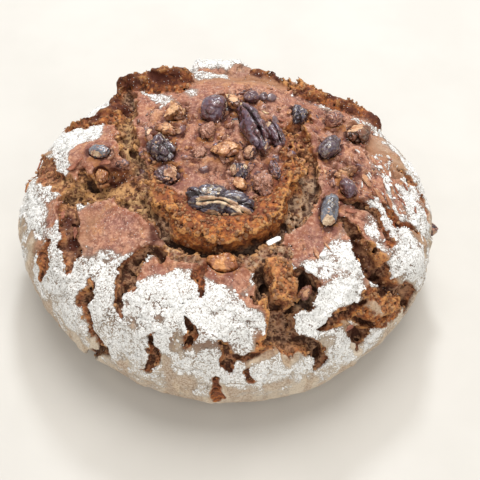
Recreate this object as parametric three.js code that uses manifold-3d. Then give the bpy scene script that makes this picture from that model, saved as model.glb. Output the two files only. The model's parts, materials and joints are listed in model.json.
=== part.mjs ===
// Walnut bread: one round, free-baked loaf with a torn, floured crust and walnut kernels baked into
// its top. Millimetres, +Z up, +X along the loaf's longest side, origin at the middle of its base.
import * as THREE from "three";
import { mergeVertices } from "three/addons/utils/BufferGeometryUtils.js";
import Module from "manifold-3d";

const wasm = await Module();
wasm.setup();

// ---- Driving dimensions ----
const loafLength = 198; // along X, at the widest level
const loafDepth = 184; // along Y, at the widest level
const loafHeight = 80; // from the base to the crown, without the torn rims
const widestLevel = 34; // height of the widest level above the base
const footRatio = 0.8; // base radius over widest radius
const domeFullness = 0.8; // exponent of the radius above the widest level: under 1 is fuller
const domeShoulder = 0.92; // exponent of the height above the widest level
const topRings = 20; // rings of faces from the crown to the widest level
const flankRings = 5; // rings of faces from the widest level to the base
const wallsPerRing = 6; // faces added with each ring, which keeps them about equilateral
const edgeSoftness = 2.1; // distance over which a torn edge falls
const socketGap = 0.6; // room between a kernel's half-size and its socket's
const finerAbove = 15; // a kernel longer than this gets the finer ball to start from

const meanRadius = (loafLength + loafDepth) / 4;

// ---- The whole dome, before it tore open ----
// The plan outline: an ellipse with a slight skew, a slightly pear-like side and flattened quarters.
function outlineScale(angle) {
  const oval = (loafLength - loafDepth) / (loafLength + loafDepth);
  const skewAngle = Math.PI / 4;
  const pearAngle = 1.71;
  return (
    1 +
    oval * Math.cos(2 * angle) -
    0.018 * Math.cos(2 * (angle - skewAngle)) +
    0.005 * Math.cos(3 * (angle - pearAngle)) +
    0.012 * Math.cos(4 * angle)
  );
}

// The half section as points of radius, height and distance walked from the crown.
function makeSection() {
  const points = [];
  const upperSteps = 240;
  const lowerSteps = 80;
  for (let i = 0; i <= upperSteps; i++) {
    const phi = (i / upperSteps) * (Math.PI / 2);
    const radius = meanRadius * Math.sin(phi) ** domeFullness;
    const rise = Math.max(Math.cos(phi), 0) ** domeShoulder;
    points.push({ radius, height: widestLevel + (loafHeight - widestLevel) * rise });
  }
  for (let i = 1; i <= lowerSteps; i++) {
    const turn = (i / lowerSteps) * (Math.PI / 2);
    const radius = meanRadius * (footRatio + (1 - footRatio) * Math.cos(turn));
    points.push({ radius, height: widestLevel * (1 - Math.sin(turn)) });
  }
  points[0].walked = 0;
  for (let i = 1; i < points.length; i++) {
    const last = points[i - 1];
    const step = Math.hypot(points[i].radius - last.radius, points[i].height - last.height);
    points[i].walked = last.walked + step;
  }
  return { points, rim: points[upperSteps].walked, foot: points.at(-1).walked };
}
const section = makeSection();

function sectionAt(walked) {
  const { points, foot } = section;
  const target = Math.min(Math.max(walked, 0), foot);
  let low = 0;
  let high = points.length - 1;
  while (high - low > 1) {
    const middle = (low + high) >> 1;
    if (points[middle].walked <= target) low = middle;
    else high = middle;
  }
  const a = points[low];
  const b = points[high];
  const t = (target - a.walked) / (b.walked - a.walked);
  return [a.radius + (b.radius - a.radius) * t, a.height + (b.height - a.height) * t];
}

// Places on the crust are given as u (towards +X) and v (towards +Y): the distance walked over the
// dome from its crown, in the direction of the place.
function onDome(u, v) {
  const angle = Math.atan2(v, u);
  const [radius, height] = sectionAt(Math.hypot(u, v));
  const plan = radius * outlineScale(angle);
  return new THREE.Vector3(plan * Math.cos(angle), plan * Math.sin(angle), height);
}

function domeNormal(u, v) {
  const step = 0.5;
  const alongU = onDome(u + step, v).sub(onDome(u - step, v));
  const alongV = onDome(u, v + step).sub(onDome(u, v - step));
  return alongU.cross(alongV).normalize();
}

// ---- Relief: where the crust tore open, and where its edges curled up ----
// Each stroke is a path of [u, v, half width]; its lift is negative in a tear.
const strokes = [
  { name: "left_channel", lift: -5, path: [[-52, 66, 4], [-46, 40, 4.5], [-43, 14, 4.5], [-40, -6, 5]] },
  { name: "left_shelf", lift: -6, path: [[-40, -6, 6], [-42, -22, 9], [-27, -38, 5]] },
  { name: "lip_recess", lift: -10, path: [[-26, -43, 3.5], [-13, -50, 3.8], [0, -51.5, 3.8], [12, -48.5, 3.8], [25, -43, 4.5]] },
  { name: "recess_floor", lift: -2.5, path: [[-22, -52, 4], [2, -57, 6], [17, -54, 5.5], [25, -50.5, 4]] },
  { name: "right_channel", lift: -7, path: [[25, -42, 5], [32, -31, 6], [36, -14, 6], [38, 4, 5], [36, 26, 5]] },
  { name: "left_hollow", lift: -7, path: [[-42, -12, 7], [-56, -12, 8], [-70, -12, 6]] },
  { name: "far_left_band", lift: -4, path: [[-76, -8, 4], [-86, 10, 5], [-104, 32, 6]] },
  { name: "left_fissure", lift: -5, path: [[-70, -20, 4], [-70, -36, 4.5], [-72, -50, 3.5]] },
  { name: "low_left_fissure", lift: -5, path: [[-38, -53, 4], [-45, -60, 5], [-50, -76, 3]] },
  { name: "flank_fissure", lift: -4, path: [[-64, -61, 3], [-70, -70, 3.5], [-71, -94, 3.5]] },
  { name: "flank_slit", lift: -7, path: [[-72, -94, 3], [-86, -95, 3.5], [-102, -96, 3]] },
  { name: "front_fissure", lift: -4, path: [[-17, -79, 3], [-18, -90, 3]] },
  { name: "front_foot_tear", lift: -4, path: [[-4, -97, 3], [8, -98, 3], [18, -94, 3]] },
  { name: "front_right_gap", lift: -9, path: [[20, -63, 6.5], [22, -76, 7], [24, -88, 8], [38, -93, 5], [48, -98, 4]] },
  { name: "crumb_block", lift: 6, path: [[24, -60, 5], [25, -69, 5]] },
  { name: "lower_plate_gap", lift: -5, path: [[62, -72, 3], [52, -77, 3.5], [43, -83, 3]] },
  { name: "right_fissure", lift: -8, path: [[53, -30, 4], [58, -43, 5.5], [66, -53, 7], [80, -58, 6], [104, -58, 5]] },
  { name: "right_upper_tear", lift: -4, path: [[66, -24, 3.5], [84, -26, 3]] },
  { name: "right_rim_gap", lift: -4, path: [[92, 8, 4], [97, -10, 5]] },
  { name: "low_right_hole", lift: -7, path: [[63, -82, 5], [72, -86, 5]] },
  { name: "back_notch", lift: -6, path: [[33, 78, 3], [36, 58, 4]] },
  { name: "back_tear", lift: -6, path: [[-62, 96, 5], [-28, 108, 6], [12, 112, 5], [46, 100, 5]] },
  { name: "back_right_tear", lift: -5, path: [[84, 78, 5], [74, 96, 5], [60, 118, 4]] },
  { name: "back_left_hollow", lift: -5, path: [[-52, 83, 5], [-36, 77, 6], [-20, 75, 5]] },
  { name: "back_hollow", lift: -4, path: [[15, 85, 5], [31, 80, 6]] },
  { name: "back_right_hollow", lift: -4, path: [[44, 70, 5], [60, 63, 5.5], [78, 57, 5]] },
  { name: "back_left_tear", lift: -5, path: [[-104, 60, 5], [-88, 84, 5]] },
  { name: "cap", lift: 2, path: [[-14, 12, 22], [2, 34, 30]] },
  { name: "front_plate", lift: 2, path: [[-40, -76, 12], [-4, -80, 13]] },
  { name: "right_plate", lift: 2.5, path: [[44, -68, 11], [50, -56, 10]] },
  { name: "right_flank_plate", lift: 2.5, path: [[80, -40, 10], [94, -38, 10]] },
  { name: "lower_left_plate", lift: 2, path: [[-58, -40, 8], [-38, -42, 8]] },
  { name: "upper_left_plate", lift: 2.5, path: [[-66, 12, 8], [-54, 14, 8]] },
  { name: "cap_lip", lift: 4, path: [[-32, -14, 4], [-24, -29, 6], [-8, -39, 7], [6, -40, 7], [22, -32, 6], [30, -14, 4]] },
  { name: "left_plate_edge", lift: 3, path: [[-70, 3, 4], [-58, 5, 5], [-48, 6, 4]] },
  { name: "left_rim", lift: 4, path: [[-82, 50, 3], [-66, 40, 4], [-54, 35, 3]] },
  { name: "back_left_rim", lift: 8.5, path: [[-55, 69, 5], [-46, 68, 5.5], [-36, 62, 5.5], [-19, 61, 5]] },
  { name: "back_crown", lift: 6, path: [[-10, 84, 8], [6, 84, 8]] },
  { name: "back_stub", lift: 4, path: [[18, 70, 4.5], [27, 68, 4]] },
  { name: "right_back_rim", lift: 6, path: [[35, 62.5, 4.5], [49, 50, 5], [64, 49.5, 5], [74, 47, 4.5], [77, 41, 4]] },
];

// Signed distance from a place to a stroke's edge: negative inside.
function distanceToStroke(u, v, path) {
  let nearest = Infinity;
  for (let i = 1; i < path.length; i++) {
    const [au, av, aHalf] = path[i - 1];
    const [bu, bv, bHalf] = path[i];
    const du = bu - au;
    const dv = bv - av;
    const share = ((u - au) * du + (v - av) * dv) / (du * du + dv * dv);
    const t = Math.min(Math.max(share, 0), 1);
    const distance = Math.hypot(u - au - t * du, v - av - t * dv);
    nearest = Math.min(nearest, distance - aHalf - t * (bHalf - aHalf));
  }
  return nearest;
}

function relief(u, v) {
  let lowest = 0;
  let raised = 0;
  for (const { lift, path } of strokes) {
    const inside = -distanceToStroke(u, v, path);
    const share = THREE.MathUtils.smoothstep(inside, -edgeSoftness, edgeSoftness);
    if (lift < 0) lowest = Math.min(lowest, lift * share);
    else raised = Math.max(raised, lift * share);
  }
  const waves = 0.5 * Math.sin(u / 9 + 1) * Math.cos(v / 8) + 0.4 * Math.sin((u + v) / 5.5);
  return lowest + raised + waves;
}

// Relief fades out down the flank, so that the base stays flat and true.
function reliefFade(walked) {
  return 1 - THREE.MathUtils.smoothstep(walked, section.rim + 8, section.foot - 8);
}

function onCrust(u, v, lift = 0) {
  const height = relief(u, v) * reliefFade(Math.hypot(u, v)) + lift;
  return onDome(u, v).addScaledVector(domeNormal(u, v), height);
}

// ---- Solids ----
function solidFrom(geometry) {
  const bare = geometry.clone();
  bare.deleteAttribute("normal");
  bare.deleteAttribute("uv");
  const merged = mergeVertices(bare, 1e-4);
  return new wasm.Manifold(
    new wasm.Mesh({
      numProp: 3,
      vertProperties: merged.attributes.position.array,
      triVerts: new Uint32Array(merged.index.array),
    }),
  );
}

function geometryFrom(solid) {
  const made = solid.getMesh();
  const geometry = new THREE.BufferGeometry();
  geometry.setAttribute("position", new THREE.BufferAttribute(made.vertProperties, 3));
  geometry.setIndex(new THREE.BufferAttribute(made.triVerts, 1));
  geometry.computeVertexNormals();
  return geometry;
}

// The loaf's skin: rings of points around the crown, six more in each, then flank rings and a base.
function loafGeometry() {
  const positions = [...onCrust(0, 0)];
  const faces = [];
  const ringStart = [0];
  const ringCount = [1];
  const addRing = (count, walked) => {
    ringStart.push(positions.length / 3);
    ringCount.push(count);
    for (let i = 0; i < count; i++) {
      const angle = (i / count) * 2 * Math.PI;
      positions.push(...onCrust(walked * Math.cos(angle), walked * Math.sin(angle)));
    }
  };
  for (let ring = 1; ring <= topRings; ring++) {
    addRing(ring * wallsPerRing, (ring / topRings) * section.rim);
  }
  const rimCount = topRings * wallsPerRing;
  for (let ring = 1; ring <= flankRings; ring++) {
    const walked = section.rim + (ring / flankRings) * (section.foot - section.rim);
    addRing(rimCount, walked);
  }
  // The last ring is the foot: it lies flat at the base level.
  for (let i = 0; i < rimCount; i++) positions[3 * (ringStart.at(-1) + i) + 2] = 0;
  // Zip each ring to the next by walking round both and always taking the shorter step.
  for (let ring = 1; ring < ringStart.length; ring++) {
    const inner = ringCount[ring - 1];
    const outer = ringCount[ring];
    const innerAt = (i) => ringStart[ring - 1] + (i % inner);
    const outerAt = (i) => ringStart[ring] + (i % outer);
    let i = 0;
    let o = 0;
    while (i < (inner > 1 ? inner : 0) || o < outer) {
      const stepOuter = inner === 1 || (o + 0.5) / outer <= (i + 0.5) / inner || i >= inner;
      if (stepOuter && o < outer) {
        faces.push(innerAt(i), outerAt(o), outerAt(o + 1));
        o++;
      } else {
        faces.push(innerAt(i), outerAt(o), innerAt(i + 1));
        i++;
      }
    }
  }
  const middle = positions.length / 3;
  positions.push(0, 0, 0);
  for (let i = 0; i < rimCount; i++) {
    faces.push(middle, ringStart.at(-1) + ((i + 1) % rimCount), ringStart.at(-1) + i);
  }
  const geometry = new THREE.BufferGeometry();
  geometry.setAttribute("position", new THREE.Float32BufferAttribute(positions, 3));
  geometry.setIndex(faces);
  return geometry;
}

// A walnut kernel half: two lobes along its length with a groove between, and a few soft lumps.
function kernelGeometry({ length, width, height, seed }, growth = 0) {
  const detail = length > finerAbove ? 2 : 1;
  const geometry = mergeVertices(bareIcosphere(detail), 1e-4);
  const position = geometry.attributes.position;
  const point = new THREE.Vector3();
  for (let i = 0; i < position.count; i++) {
    point.fromBufferAttribute(position, i).normalize();
    const groove = Math.exp(-((point.y / 0.28) ** 2)) * Math.max(point.z, 0);
    const lumps = Math.sin(4.1 * point.x + seed) * Math.cos(3.3 * point.y + 2 * seed);
    point.multiplyScalar(1 - 0.16 * groove + 0.05 * lumps);
    point.multiply(new THREE.Vector3(length / 2 + growth, width / 2 + growth, height / 2 + growth));
    position.setXYZ(i, point.x, point.y, point.z);
  }
  return geometry;
}

function bareIcosphere(detail) {
  const geometry = new THREE.IcosahedronGeometry(1, detail);
  geometry.deleteAttribute("normal");
  geometry.deleteAttribute("uv");
  return geometry;
}

// A kernel lies on the crust at (u, v) with its long side turned by yaw from +X and its centre
// raised by lift above the crust there.
function kernelPlace({ u, v, yaw, lift }) {
  const normal = domeNormal(u, v);
  const along = onDome(u + 0.5, v).sub(onDome(u - 0.5, v)).normalize();
  const across = normal.clone().cross(along).normalize();
  const turn = THREE.MathUtils.degToRad(yaw);
  const longSide = along.multiplyScalar(Math.cos(turn)).addScaledVector(across, Math.sin(turn)).normalize();
  const shortSide = normal.clone().cross(longSide);
  const matrix = new THREE.Matrix4().makeBasis(longSide, shortSide, normal);
  return matrix.setPosition(onCrust(u, v, lift));
}

// ---- Walnut kernels baked into the top ----
// Tones: dark for glossy blackened skin, brown for toasted skin, pale for broken faces.
const kernels = [
  { name: "walnut_lip", tone: "dark", u: -2, v: -29, length: 32, width: 14, height: 13, yaw: -14, lift: 2.5 },
  { name: "walnut_left", tone: "dark", u: -27.5, v: 4, length: 19, width: 12.5, height: 11, yaw: -58, lift: 2.5 },
  { name: "walnut_left_pale", tone: "pale", u: -25.5, v: 15.5, length: 14, width: 7, height: 7, yaw: -32, lift: 2.5 },
  { name: "walnut_left_back", tone: "pale", u: -22, v: 26, length: 13, width: 11, height: 10, yaw: 80, lift: 3 },
  { name: "walnut_left_front", tone: "brown", u: -25.5, v: -10.5, length: 13, width: 12, height: 9, yaw: 20, lift: 2 },
  { name: "walnut_round", tone: "dark", u: -4.5, v: 27, length: 16, width: 14, height: 13, yaw: 60, lift: 4 },
  { name: "walnut_round_chip", tone: "pale", u: 5, v: 32.5, length: 9, width: 4.5, height: 4.5, yaw: -60, lift: 4 },
  { name: "walnut_crown", tone: "dark", u: 14, v: 15, length: 27, width: 11, height: 12, yaw: -72, lift: 3.5 },
  { name: "walnut_crown_side", tone: "dark", u: 23.5, v: 12.5, length: 19, width: 7.5, height: 9, yaw: -76, lift: 2.5 },
  { name: "walnut_back_small", tone: "dark", u: 13.5, v: 38, length: 8.5, width: 7.5, height: 7, yaw: 20, lift: 2.5 },
  { name: "walnut_centre", tone: "pale", u: 1, v: 1, length: 15, width: 9, height: 8, yaw: 8, lift: 2 },
  { name: "walnut_centre_right", tone: "brown", u: 11, v: 0.5, length: 9, width: 6.5, height: 7, yaw: 70, lift: 2 },
  { name: "walnut_centre_left", tone: "brown", u: -10.5, v: 0.5, length: 7, width: 6, height: 6, yaw: 30, lift: 1.5 },
  { name: "walnut_middle", tone: "brown", u: -7.5, v: 13.5, length: 10, width: 8, height: 7, yaw: 70, lift: 2 },
  { name: "walnut_front_dark", tone: "dark", u: 6.5, v: -10, length: 11, width: 8, height: 8, yaw: -50, lift: 2 },
  { name: "walnut_front_lump", tone: "brown", u: 16.5, v: -17.5, length: 13, width: 10, height: 9, yaw: -70, lift: 2.5 },
  { name: "walnut_front_pale", tone: "pale", u: 7, v: -18, length: 8, width: 5.5, height: 5.5, yaw: -50, lift: 2.5 },
  { name: "walnut_right_slim", tone: "brown", u: 21.5, v: -9, length: 12, width: 5.5, height: 6, yaw: -72, lift: 2 },
  { name: "walnut_back_grey", tone: "dark", u: 37.5, v: 31, length: 13, width: 9.5, height: 9, yaw: 80, lift: 4 },
  { name: "walnut_back_brown", tone: "brown", u: 52.5, v: 27, length: 11, width: 9, height: 9, yaw: 60, lift: 3.5 },
  { name: "walnut_back_pale", tone: "pale", u: 62.5, v: 19.5, length: 18, width: 10.5, height: 10, yaw: 58, lift: 3 },
  { name: "walnut_right", tone: "dark", u: 46.5, v: 6, length: 16, width: 9.5, height: 10, yaw: 56, lift: 3 },
  { name: "walnut_right_cave", tone: "brown", u: 41.5, v: 16, length: 10, width: 7, height: 7, yaw: 60, lift: 1 },
  { name: "walnut_right_long", tone: "pale", u: 52, v: -7.5, length: 14, width: 6, height: 6.5, yaw: 32, lift: 2 },
  { name: "walnut_right_round", tone: "dark", u: 52, v: -16.5, length: 10, width: 7.5, height: 8, yaw: -70, lift: 2.5 },
  { name: "walnut_right_grey", tone: "dark", u: 44.5, v: -29.5, length: 18, width: 8.5, height: 8.5, yaw: 82, lift: 2 },
  { name: "walnut_left_blue", tone: "dark", u: -54.5, v: 6.5, length: 13, width: 7.5, height: 7, yaw: -28, lift: 1 },
  { name: "walnut_cave", tone: "pale", u: -54.5, v: -4, length: 8.5, width: 6, height: 6, yaw: -70, lift: 1.5 },
  { name: "walnut_under_lip", tone: "pale", u: -1.5, v: -57, length: 13.5, width: 8.5, height: 7, yaw: -10, lift: 1.4 },
  { name: "walnut_front_hole", tone: "brown", u: 33.5, v: -69, length: 8, width: 5.5, height: 5.5, yaw: 60, lift: 0 },
  { name: "walnut_right_edge", tone: "dark", u: 110.5, v: -14, length: 9, width: 7, height: 6, yaw: 60, lift: 1 },
];

const colours = { crust: 0x8a5a42, dark: 0x352b33, brown: 0x6e4632, pale: 0xc49a6c };

const loafMaterial = new THREE.MeshStandardMaterial({ color: colours.crust, roughness: 0.9, metalness: 0 });
const kernelMaterials = {
  dark: new THREE.MeshStandardMaterial({ color: colours.dark, roughness: 0.35, metalness: 0 }),
  brown: new THREE.MeshStandardMaterial({ color: colours.brown, roughness: 0.6, metalness: 0 }),
  pale: new THREE.MeshStandardMaterial({ color: colours.pale, roughness: 0.6, metalness: 0 }),
};

// ---- The scene graph ----
const bread = new THREE.Group();
bread.name = "walnut_bread";
let loafSolid = solidFrom(loafGeometry());
kernels.forEach((kernel, index) => {
  const shape = { ...kernel, seed: index };
  const place = kernelPlace(kernel);
  const mesh = new THREE.Mesh(kernelGeometry(shape), kernelMaterials[kernel.tone]);
  mesh.geometry.computeVertexNormals();
  mesh.name = kernel.name;
  mesh.applyMatrix4(place);
  bread.add(mesh);
  const socket = kernelGeometry(shape, socketGap).applyMatrix4(place);
  loafSolid = loafSolid.subtract(solidFrom(socket));
});
const loaf = new THREE.Mesh(geometryFrom(loafSolid), loafMaterial);
loaf.name = "loaf";
bread.add(loaf);

export default bread;
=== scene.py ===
"""Looks of a round walnut loaf: torn and floured crust, open crumb, walnut kernels, loose flour and crumbs.

Lengths are millimetres until a mesh is made, and metres in Blender.
Places on the crust are (u, v): the distance walked over the dome from its crown, u towards +X, v towards +Y.
A path is a line of broad points on the crust: u, v, half width, u, v, half width and so on.
"""

import itertools
import json
import math

import bpy
import numpy as np
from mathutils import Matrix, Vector


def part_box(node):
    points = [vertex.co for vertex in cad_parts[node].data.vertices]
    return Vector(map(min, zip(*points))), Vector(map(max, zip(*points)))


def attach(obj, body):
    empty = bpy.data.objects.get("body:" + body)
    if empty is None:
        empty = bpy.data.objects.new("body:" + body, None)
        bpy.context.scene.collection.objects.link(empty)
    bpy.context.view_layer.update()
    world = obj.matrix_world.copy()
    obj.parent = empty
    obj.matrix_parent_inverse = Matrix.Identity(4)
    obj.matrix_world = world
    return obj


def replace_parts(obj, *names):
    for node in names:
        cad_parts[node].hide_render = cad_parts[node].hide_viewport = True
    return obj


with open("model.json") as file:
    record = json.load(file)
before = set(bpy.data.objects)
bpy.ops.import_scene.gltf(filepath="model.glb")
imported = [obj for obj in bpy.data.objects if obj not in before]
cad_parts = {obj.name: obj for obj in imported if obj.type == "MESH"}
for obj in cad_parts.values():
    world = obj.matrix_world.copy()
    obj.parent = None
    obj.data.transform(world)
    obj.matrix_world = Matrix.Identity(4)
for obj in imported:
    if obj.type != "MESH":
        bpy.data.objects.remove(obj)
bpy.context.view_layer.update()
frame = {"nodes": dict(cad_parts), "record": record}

MM = 0.001
LOAF_LENGTH = 198.0  # along X at the widest level
LOAF_DEPTH = 184.0  # along Y at the widest level
LOAF_HEIGHT = 80.0
WIDEST_LEVEL = 34.0
FOOT_RATIO = 0.8
DOME_FULLNESS = 0.8
DOME_SHOULDER = 0.92
MEAN_RADIUS = (LOAF_LENGTH + LOAF_DEPTH) / 4
VOXEL = 0.7  # edge of the cells that the loaf is carved from
LOAF_TRIANGLES = 355000
MAP_STEP = 0.5
MAP_HALF = 166.0
BAND_UNDER = 17.0  # cells are carved from this depth under the dome
BAND_OVER = 11.0  # to this height over it
TABLE_STEP = 0.5
TABLE_LOW = -12.0
NOISE_SIZE = 64
GRID_LOW = np.array([-108.0, -100.0, -2.4])  # corners of the grid of cells
GRID_HIGH = np.array([108.0, 102.0, 94.0])
PIT_REACH = (1.5, 4.0)  # millimetres round a point that tell how sunken it is
# Round pores in the crumb: how many on a square millimetre, smallest and largest radius.
PORES = ((0.040, 0.5, 0.9), (0.010, 0.9, 1.4), (0.0018, 1.4, 2.4))

rng = np.random.default_rng(7)
noise_table = rng.uniform(-1.0, 1.0, (NOISE_SIZE, NOISE_SIZE, NOISE_SIZE)).astype(np.float32)


# ---- Small numeric helpers ----
def ramp(x, low, high):
    """Smooth step from 0 at low to 1 at high."""
    t = np.clip((x - low) / (high - low), 0.0, 1.0)
    return t * t * (3.0 - 2.0 * t)


def mix(a, b, share):
    return a + (b - a) * share


def smooth_max(a, b, radius):
    h = np.clip(0.5 + 0.5 * (a - b) / radius, 0.0, 1.0)
    return mix(b, a, h) + radius * h * (1.0 - h)


def smooth_min(a, b, radius):
    return -smooth_max(-a, -b, radius)


def bell(x, width, power=2):
    return np.exp(-(x / width) ** power)


def columns(*parts):
    return np.stack(parts, -1)


def lengths(rows):
    return np.linalg.norm(rows, axis=-1)


def unit(way):
    return way / np.linalg.norm(way)


def frame_of(along, outward):
    """Three axes, as rows."""
    return np.stack([along, np.cross(outward, along), outward])


def noise(points, cell, seed=0):
    """Smooth noise from -1 to 1 with features about one cell wide, for an (n, 2) or (n, 3) array."""
    total = 0.0
    scaled = np.asarray(points, np.float32) / cell + seed * 7.31
    base = np.floor(scaled).astype(np.int32)
    part = scaled - base
    part = part * part * (3.0 - 2.0 * part)
    axes = scaled.shape[-1]
    for corner in range(2 ** axes):
        weight = 1.0
        index = []
        for axis in range(axes):
            bit = (corner >> axis) & 1
            index.append((base[..., axis] + bit) % NOISE_SIZE)
            weight = weight * (part[..., axis] if bit else 1.0 - part[..., axis])
        if axes == 2:
            index.append(seed % NOISE_SIZE)
        total = total + weight * noise_table[tuple(index)]
    return total


def cells(points, cell, seed):
    """Irregular cells: distance to the nearest edge between two, and a random number for each."""
    scaled = np.asarray(points, np.float32) / cell
    base = np.floor(scaled).astype(np.int32)
    nearest = np.full(scaled.shape[:-1], 9.0, np.float32)
    second = nearest.copy()
    chance = np.zeros_like(nearest)
    for step in itertools.product((-1, 0, 1), repeat=2):
        iu, iv = ((base[..., k] + step[k]) % NOISE_SIZE for k in (0, 1))
        cu, cv = (base[..., k] + step[k] + 0.5 + 0.42 * noise_table[iu, iv, seed + k] for k in (0, 1))
        gap = np.hypot(scaled[..., 0] - cu, scaled[..., 1] - cv)
        closer = gap < nearest
        second = np.where(closer, nearest, np.minimum(second, gap))
        nearest = np.where(closer, gap, nearest)
        chance = np.where(closer, noise_table[iu, iv, seed + 2], chance)
    return (second - nearest) * cell * 0.5, chance


def sample(grid, x, y):
    """Bilinear reading of a grid at fractional indices."""
    x = np.clip(x, 0.0, grid.shape[0] - 1.001)
    y = np.clip(y, 0.0, grid.shape[1] - 1.001)
    i = x.astype(np.int32)
    j = y.astype(np.int32)
    fx = (x - i).astype(np.float32)
    fy = (y - j).astype(np.float32)
    low, high = (grid[i + k, j] * (1 - fy) + grid[i + k, j + 1] * fy for k in (0, 1))
    return low * (1 - fx) + high * fx


# ---- The whole dome, before it tore open ----
def outline_scale(angle):
    oval = (LOAF_LENGTH - LOAF_DEPTH) / (LOAF_LENGTH + LOAF_DEPTH)
    skew = 0.018 * np.cos(2 * (angle - math.pi / 4))
    pear = 0.005 * np.cos(3 * (angle - 1.71))
    return 1 + oval * np.cos(2 * angle) - skew + pear + 0.012 * np.cos(4 * angle)


def dome_section():
    """The half section, at even steps of angle: radius, height, distance walked, and that of the rim."""
    phi = np.linspace(0.0, math.pi / 2, 241)
    turn = np.linspace(0.0, math.pi / 2, 81)[1:]
    rise = np.maximum(np.cos(phi), 0.0) ** DOME_SHOULDER
    radius = np.concatenate([
        MEAN_RADIUS * np.sin(phi) ** DOME_FULLNESS,
        MEAN_RADIUS * (FOOT_RATIO + (1 - FOOT_RATIO) * np.cos(turn)),
    ])
    height = np.concatenate([
        WIDEST_LEVEL + (LOAF_HEIGHT - WIDEST_LEVEL) * rise,
        WIDEST_LEVEL * (1 - np.sin(turn)),
    ])
    walked = np.concatenate([[0.0], np.cumsum(np.hypot(np.diff(radius), np.diff(height)))])
    return radius, height, walked, walked[len(phi) - 1]


section_radius, section_height, section_walked, RIM = dome_section()
FOOT = section_walked[-1]


def dome_point(u, v):
    angle = np.arctan2(v, u)
    walked = np.hypot(u, v)
    radius = np.interp(walked, section_walked, section_radius) * outline_scale(angle)
    height = np.interp(walked, section_walked, section_height)
    return columns(radius * np.cos(angle), radius * np.sin(angle), height)


def dome_table():
    """For points of the half plane: the distance walked to the nearest dome point, and the height over it."""
    radii = np.arange(0.0, 130.0, TABLE_STEP)
    levels = np.arange(TABLE_LOW, 112.0, TABLE_STEP)
    tangent_r = np.gradient(section_radius, section_walked)
    tangent_z = np.gradient(section_height, section_walked)
    walked = np.zeros((len(radii), len(levels)), np.float32)
    offset = np.zeros_like(walked)
    gap_z = levels[:, None] - section_height[None, :]
    for row, radius in enumerate(radii):
        gap_r = radius - section_radius
        near = np.argmin(gap_r ** 2 + gap_z ** 2, axis=1)
        gr = gap_r[near]
        gz = gap_z[np.arange(len(levels)), near]
        walked[row] = section_walked[near] + gr * tangent_r[near] + gz * tangent_z[near]
        offset[row] = gz * tangent_r[near] - gr * tangent_z[near]
    return walked, offset


table_walked, table_offset = dome_table()


def read_tables(x, y, z, *tables):
    """The angle round the loaf, and the tables' values, at points in space."""
    angle = np.arctan2(y, x)
    row = np.hypot(x, y) / outline_scale(angle) / TABLE_STEP
    column = (z - TABLE_LOW) / TABLE_STEP
    return [angle, *(sample(table, row, column) for table in tables)]


def ragged(points, seed):
    """Sideways wander of a torn edge, in space, so that a tear's wall isn't fluted."""
    wide = 2.3 * noise(points, 9.5, seed)
    return wide + 1.7 * noise(points, 4.6, seed + 1) + 0.9 * noise(points, 2.1, seed + 2)


def to_torn_crust(points):
    """(u, v, height over the dome) of points in space, with the place wandering as torn edges do."""
    angle, walked, over = read_tables(*points.T, table_walked, table_offset)
    return walked * np.cos(angle) + ragged(points, 1), walked * np.sin(angle) + ragged(points, 4), over


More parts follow.
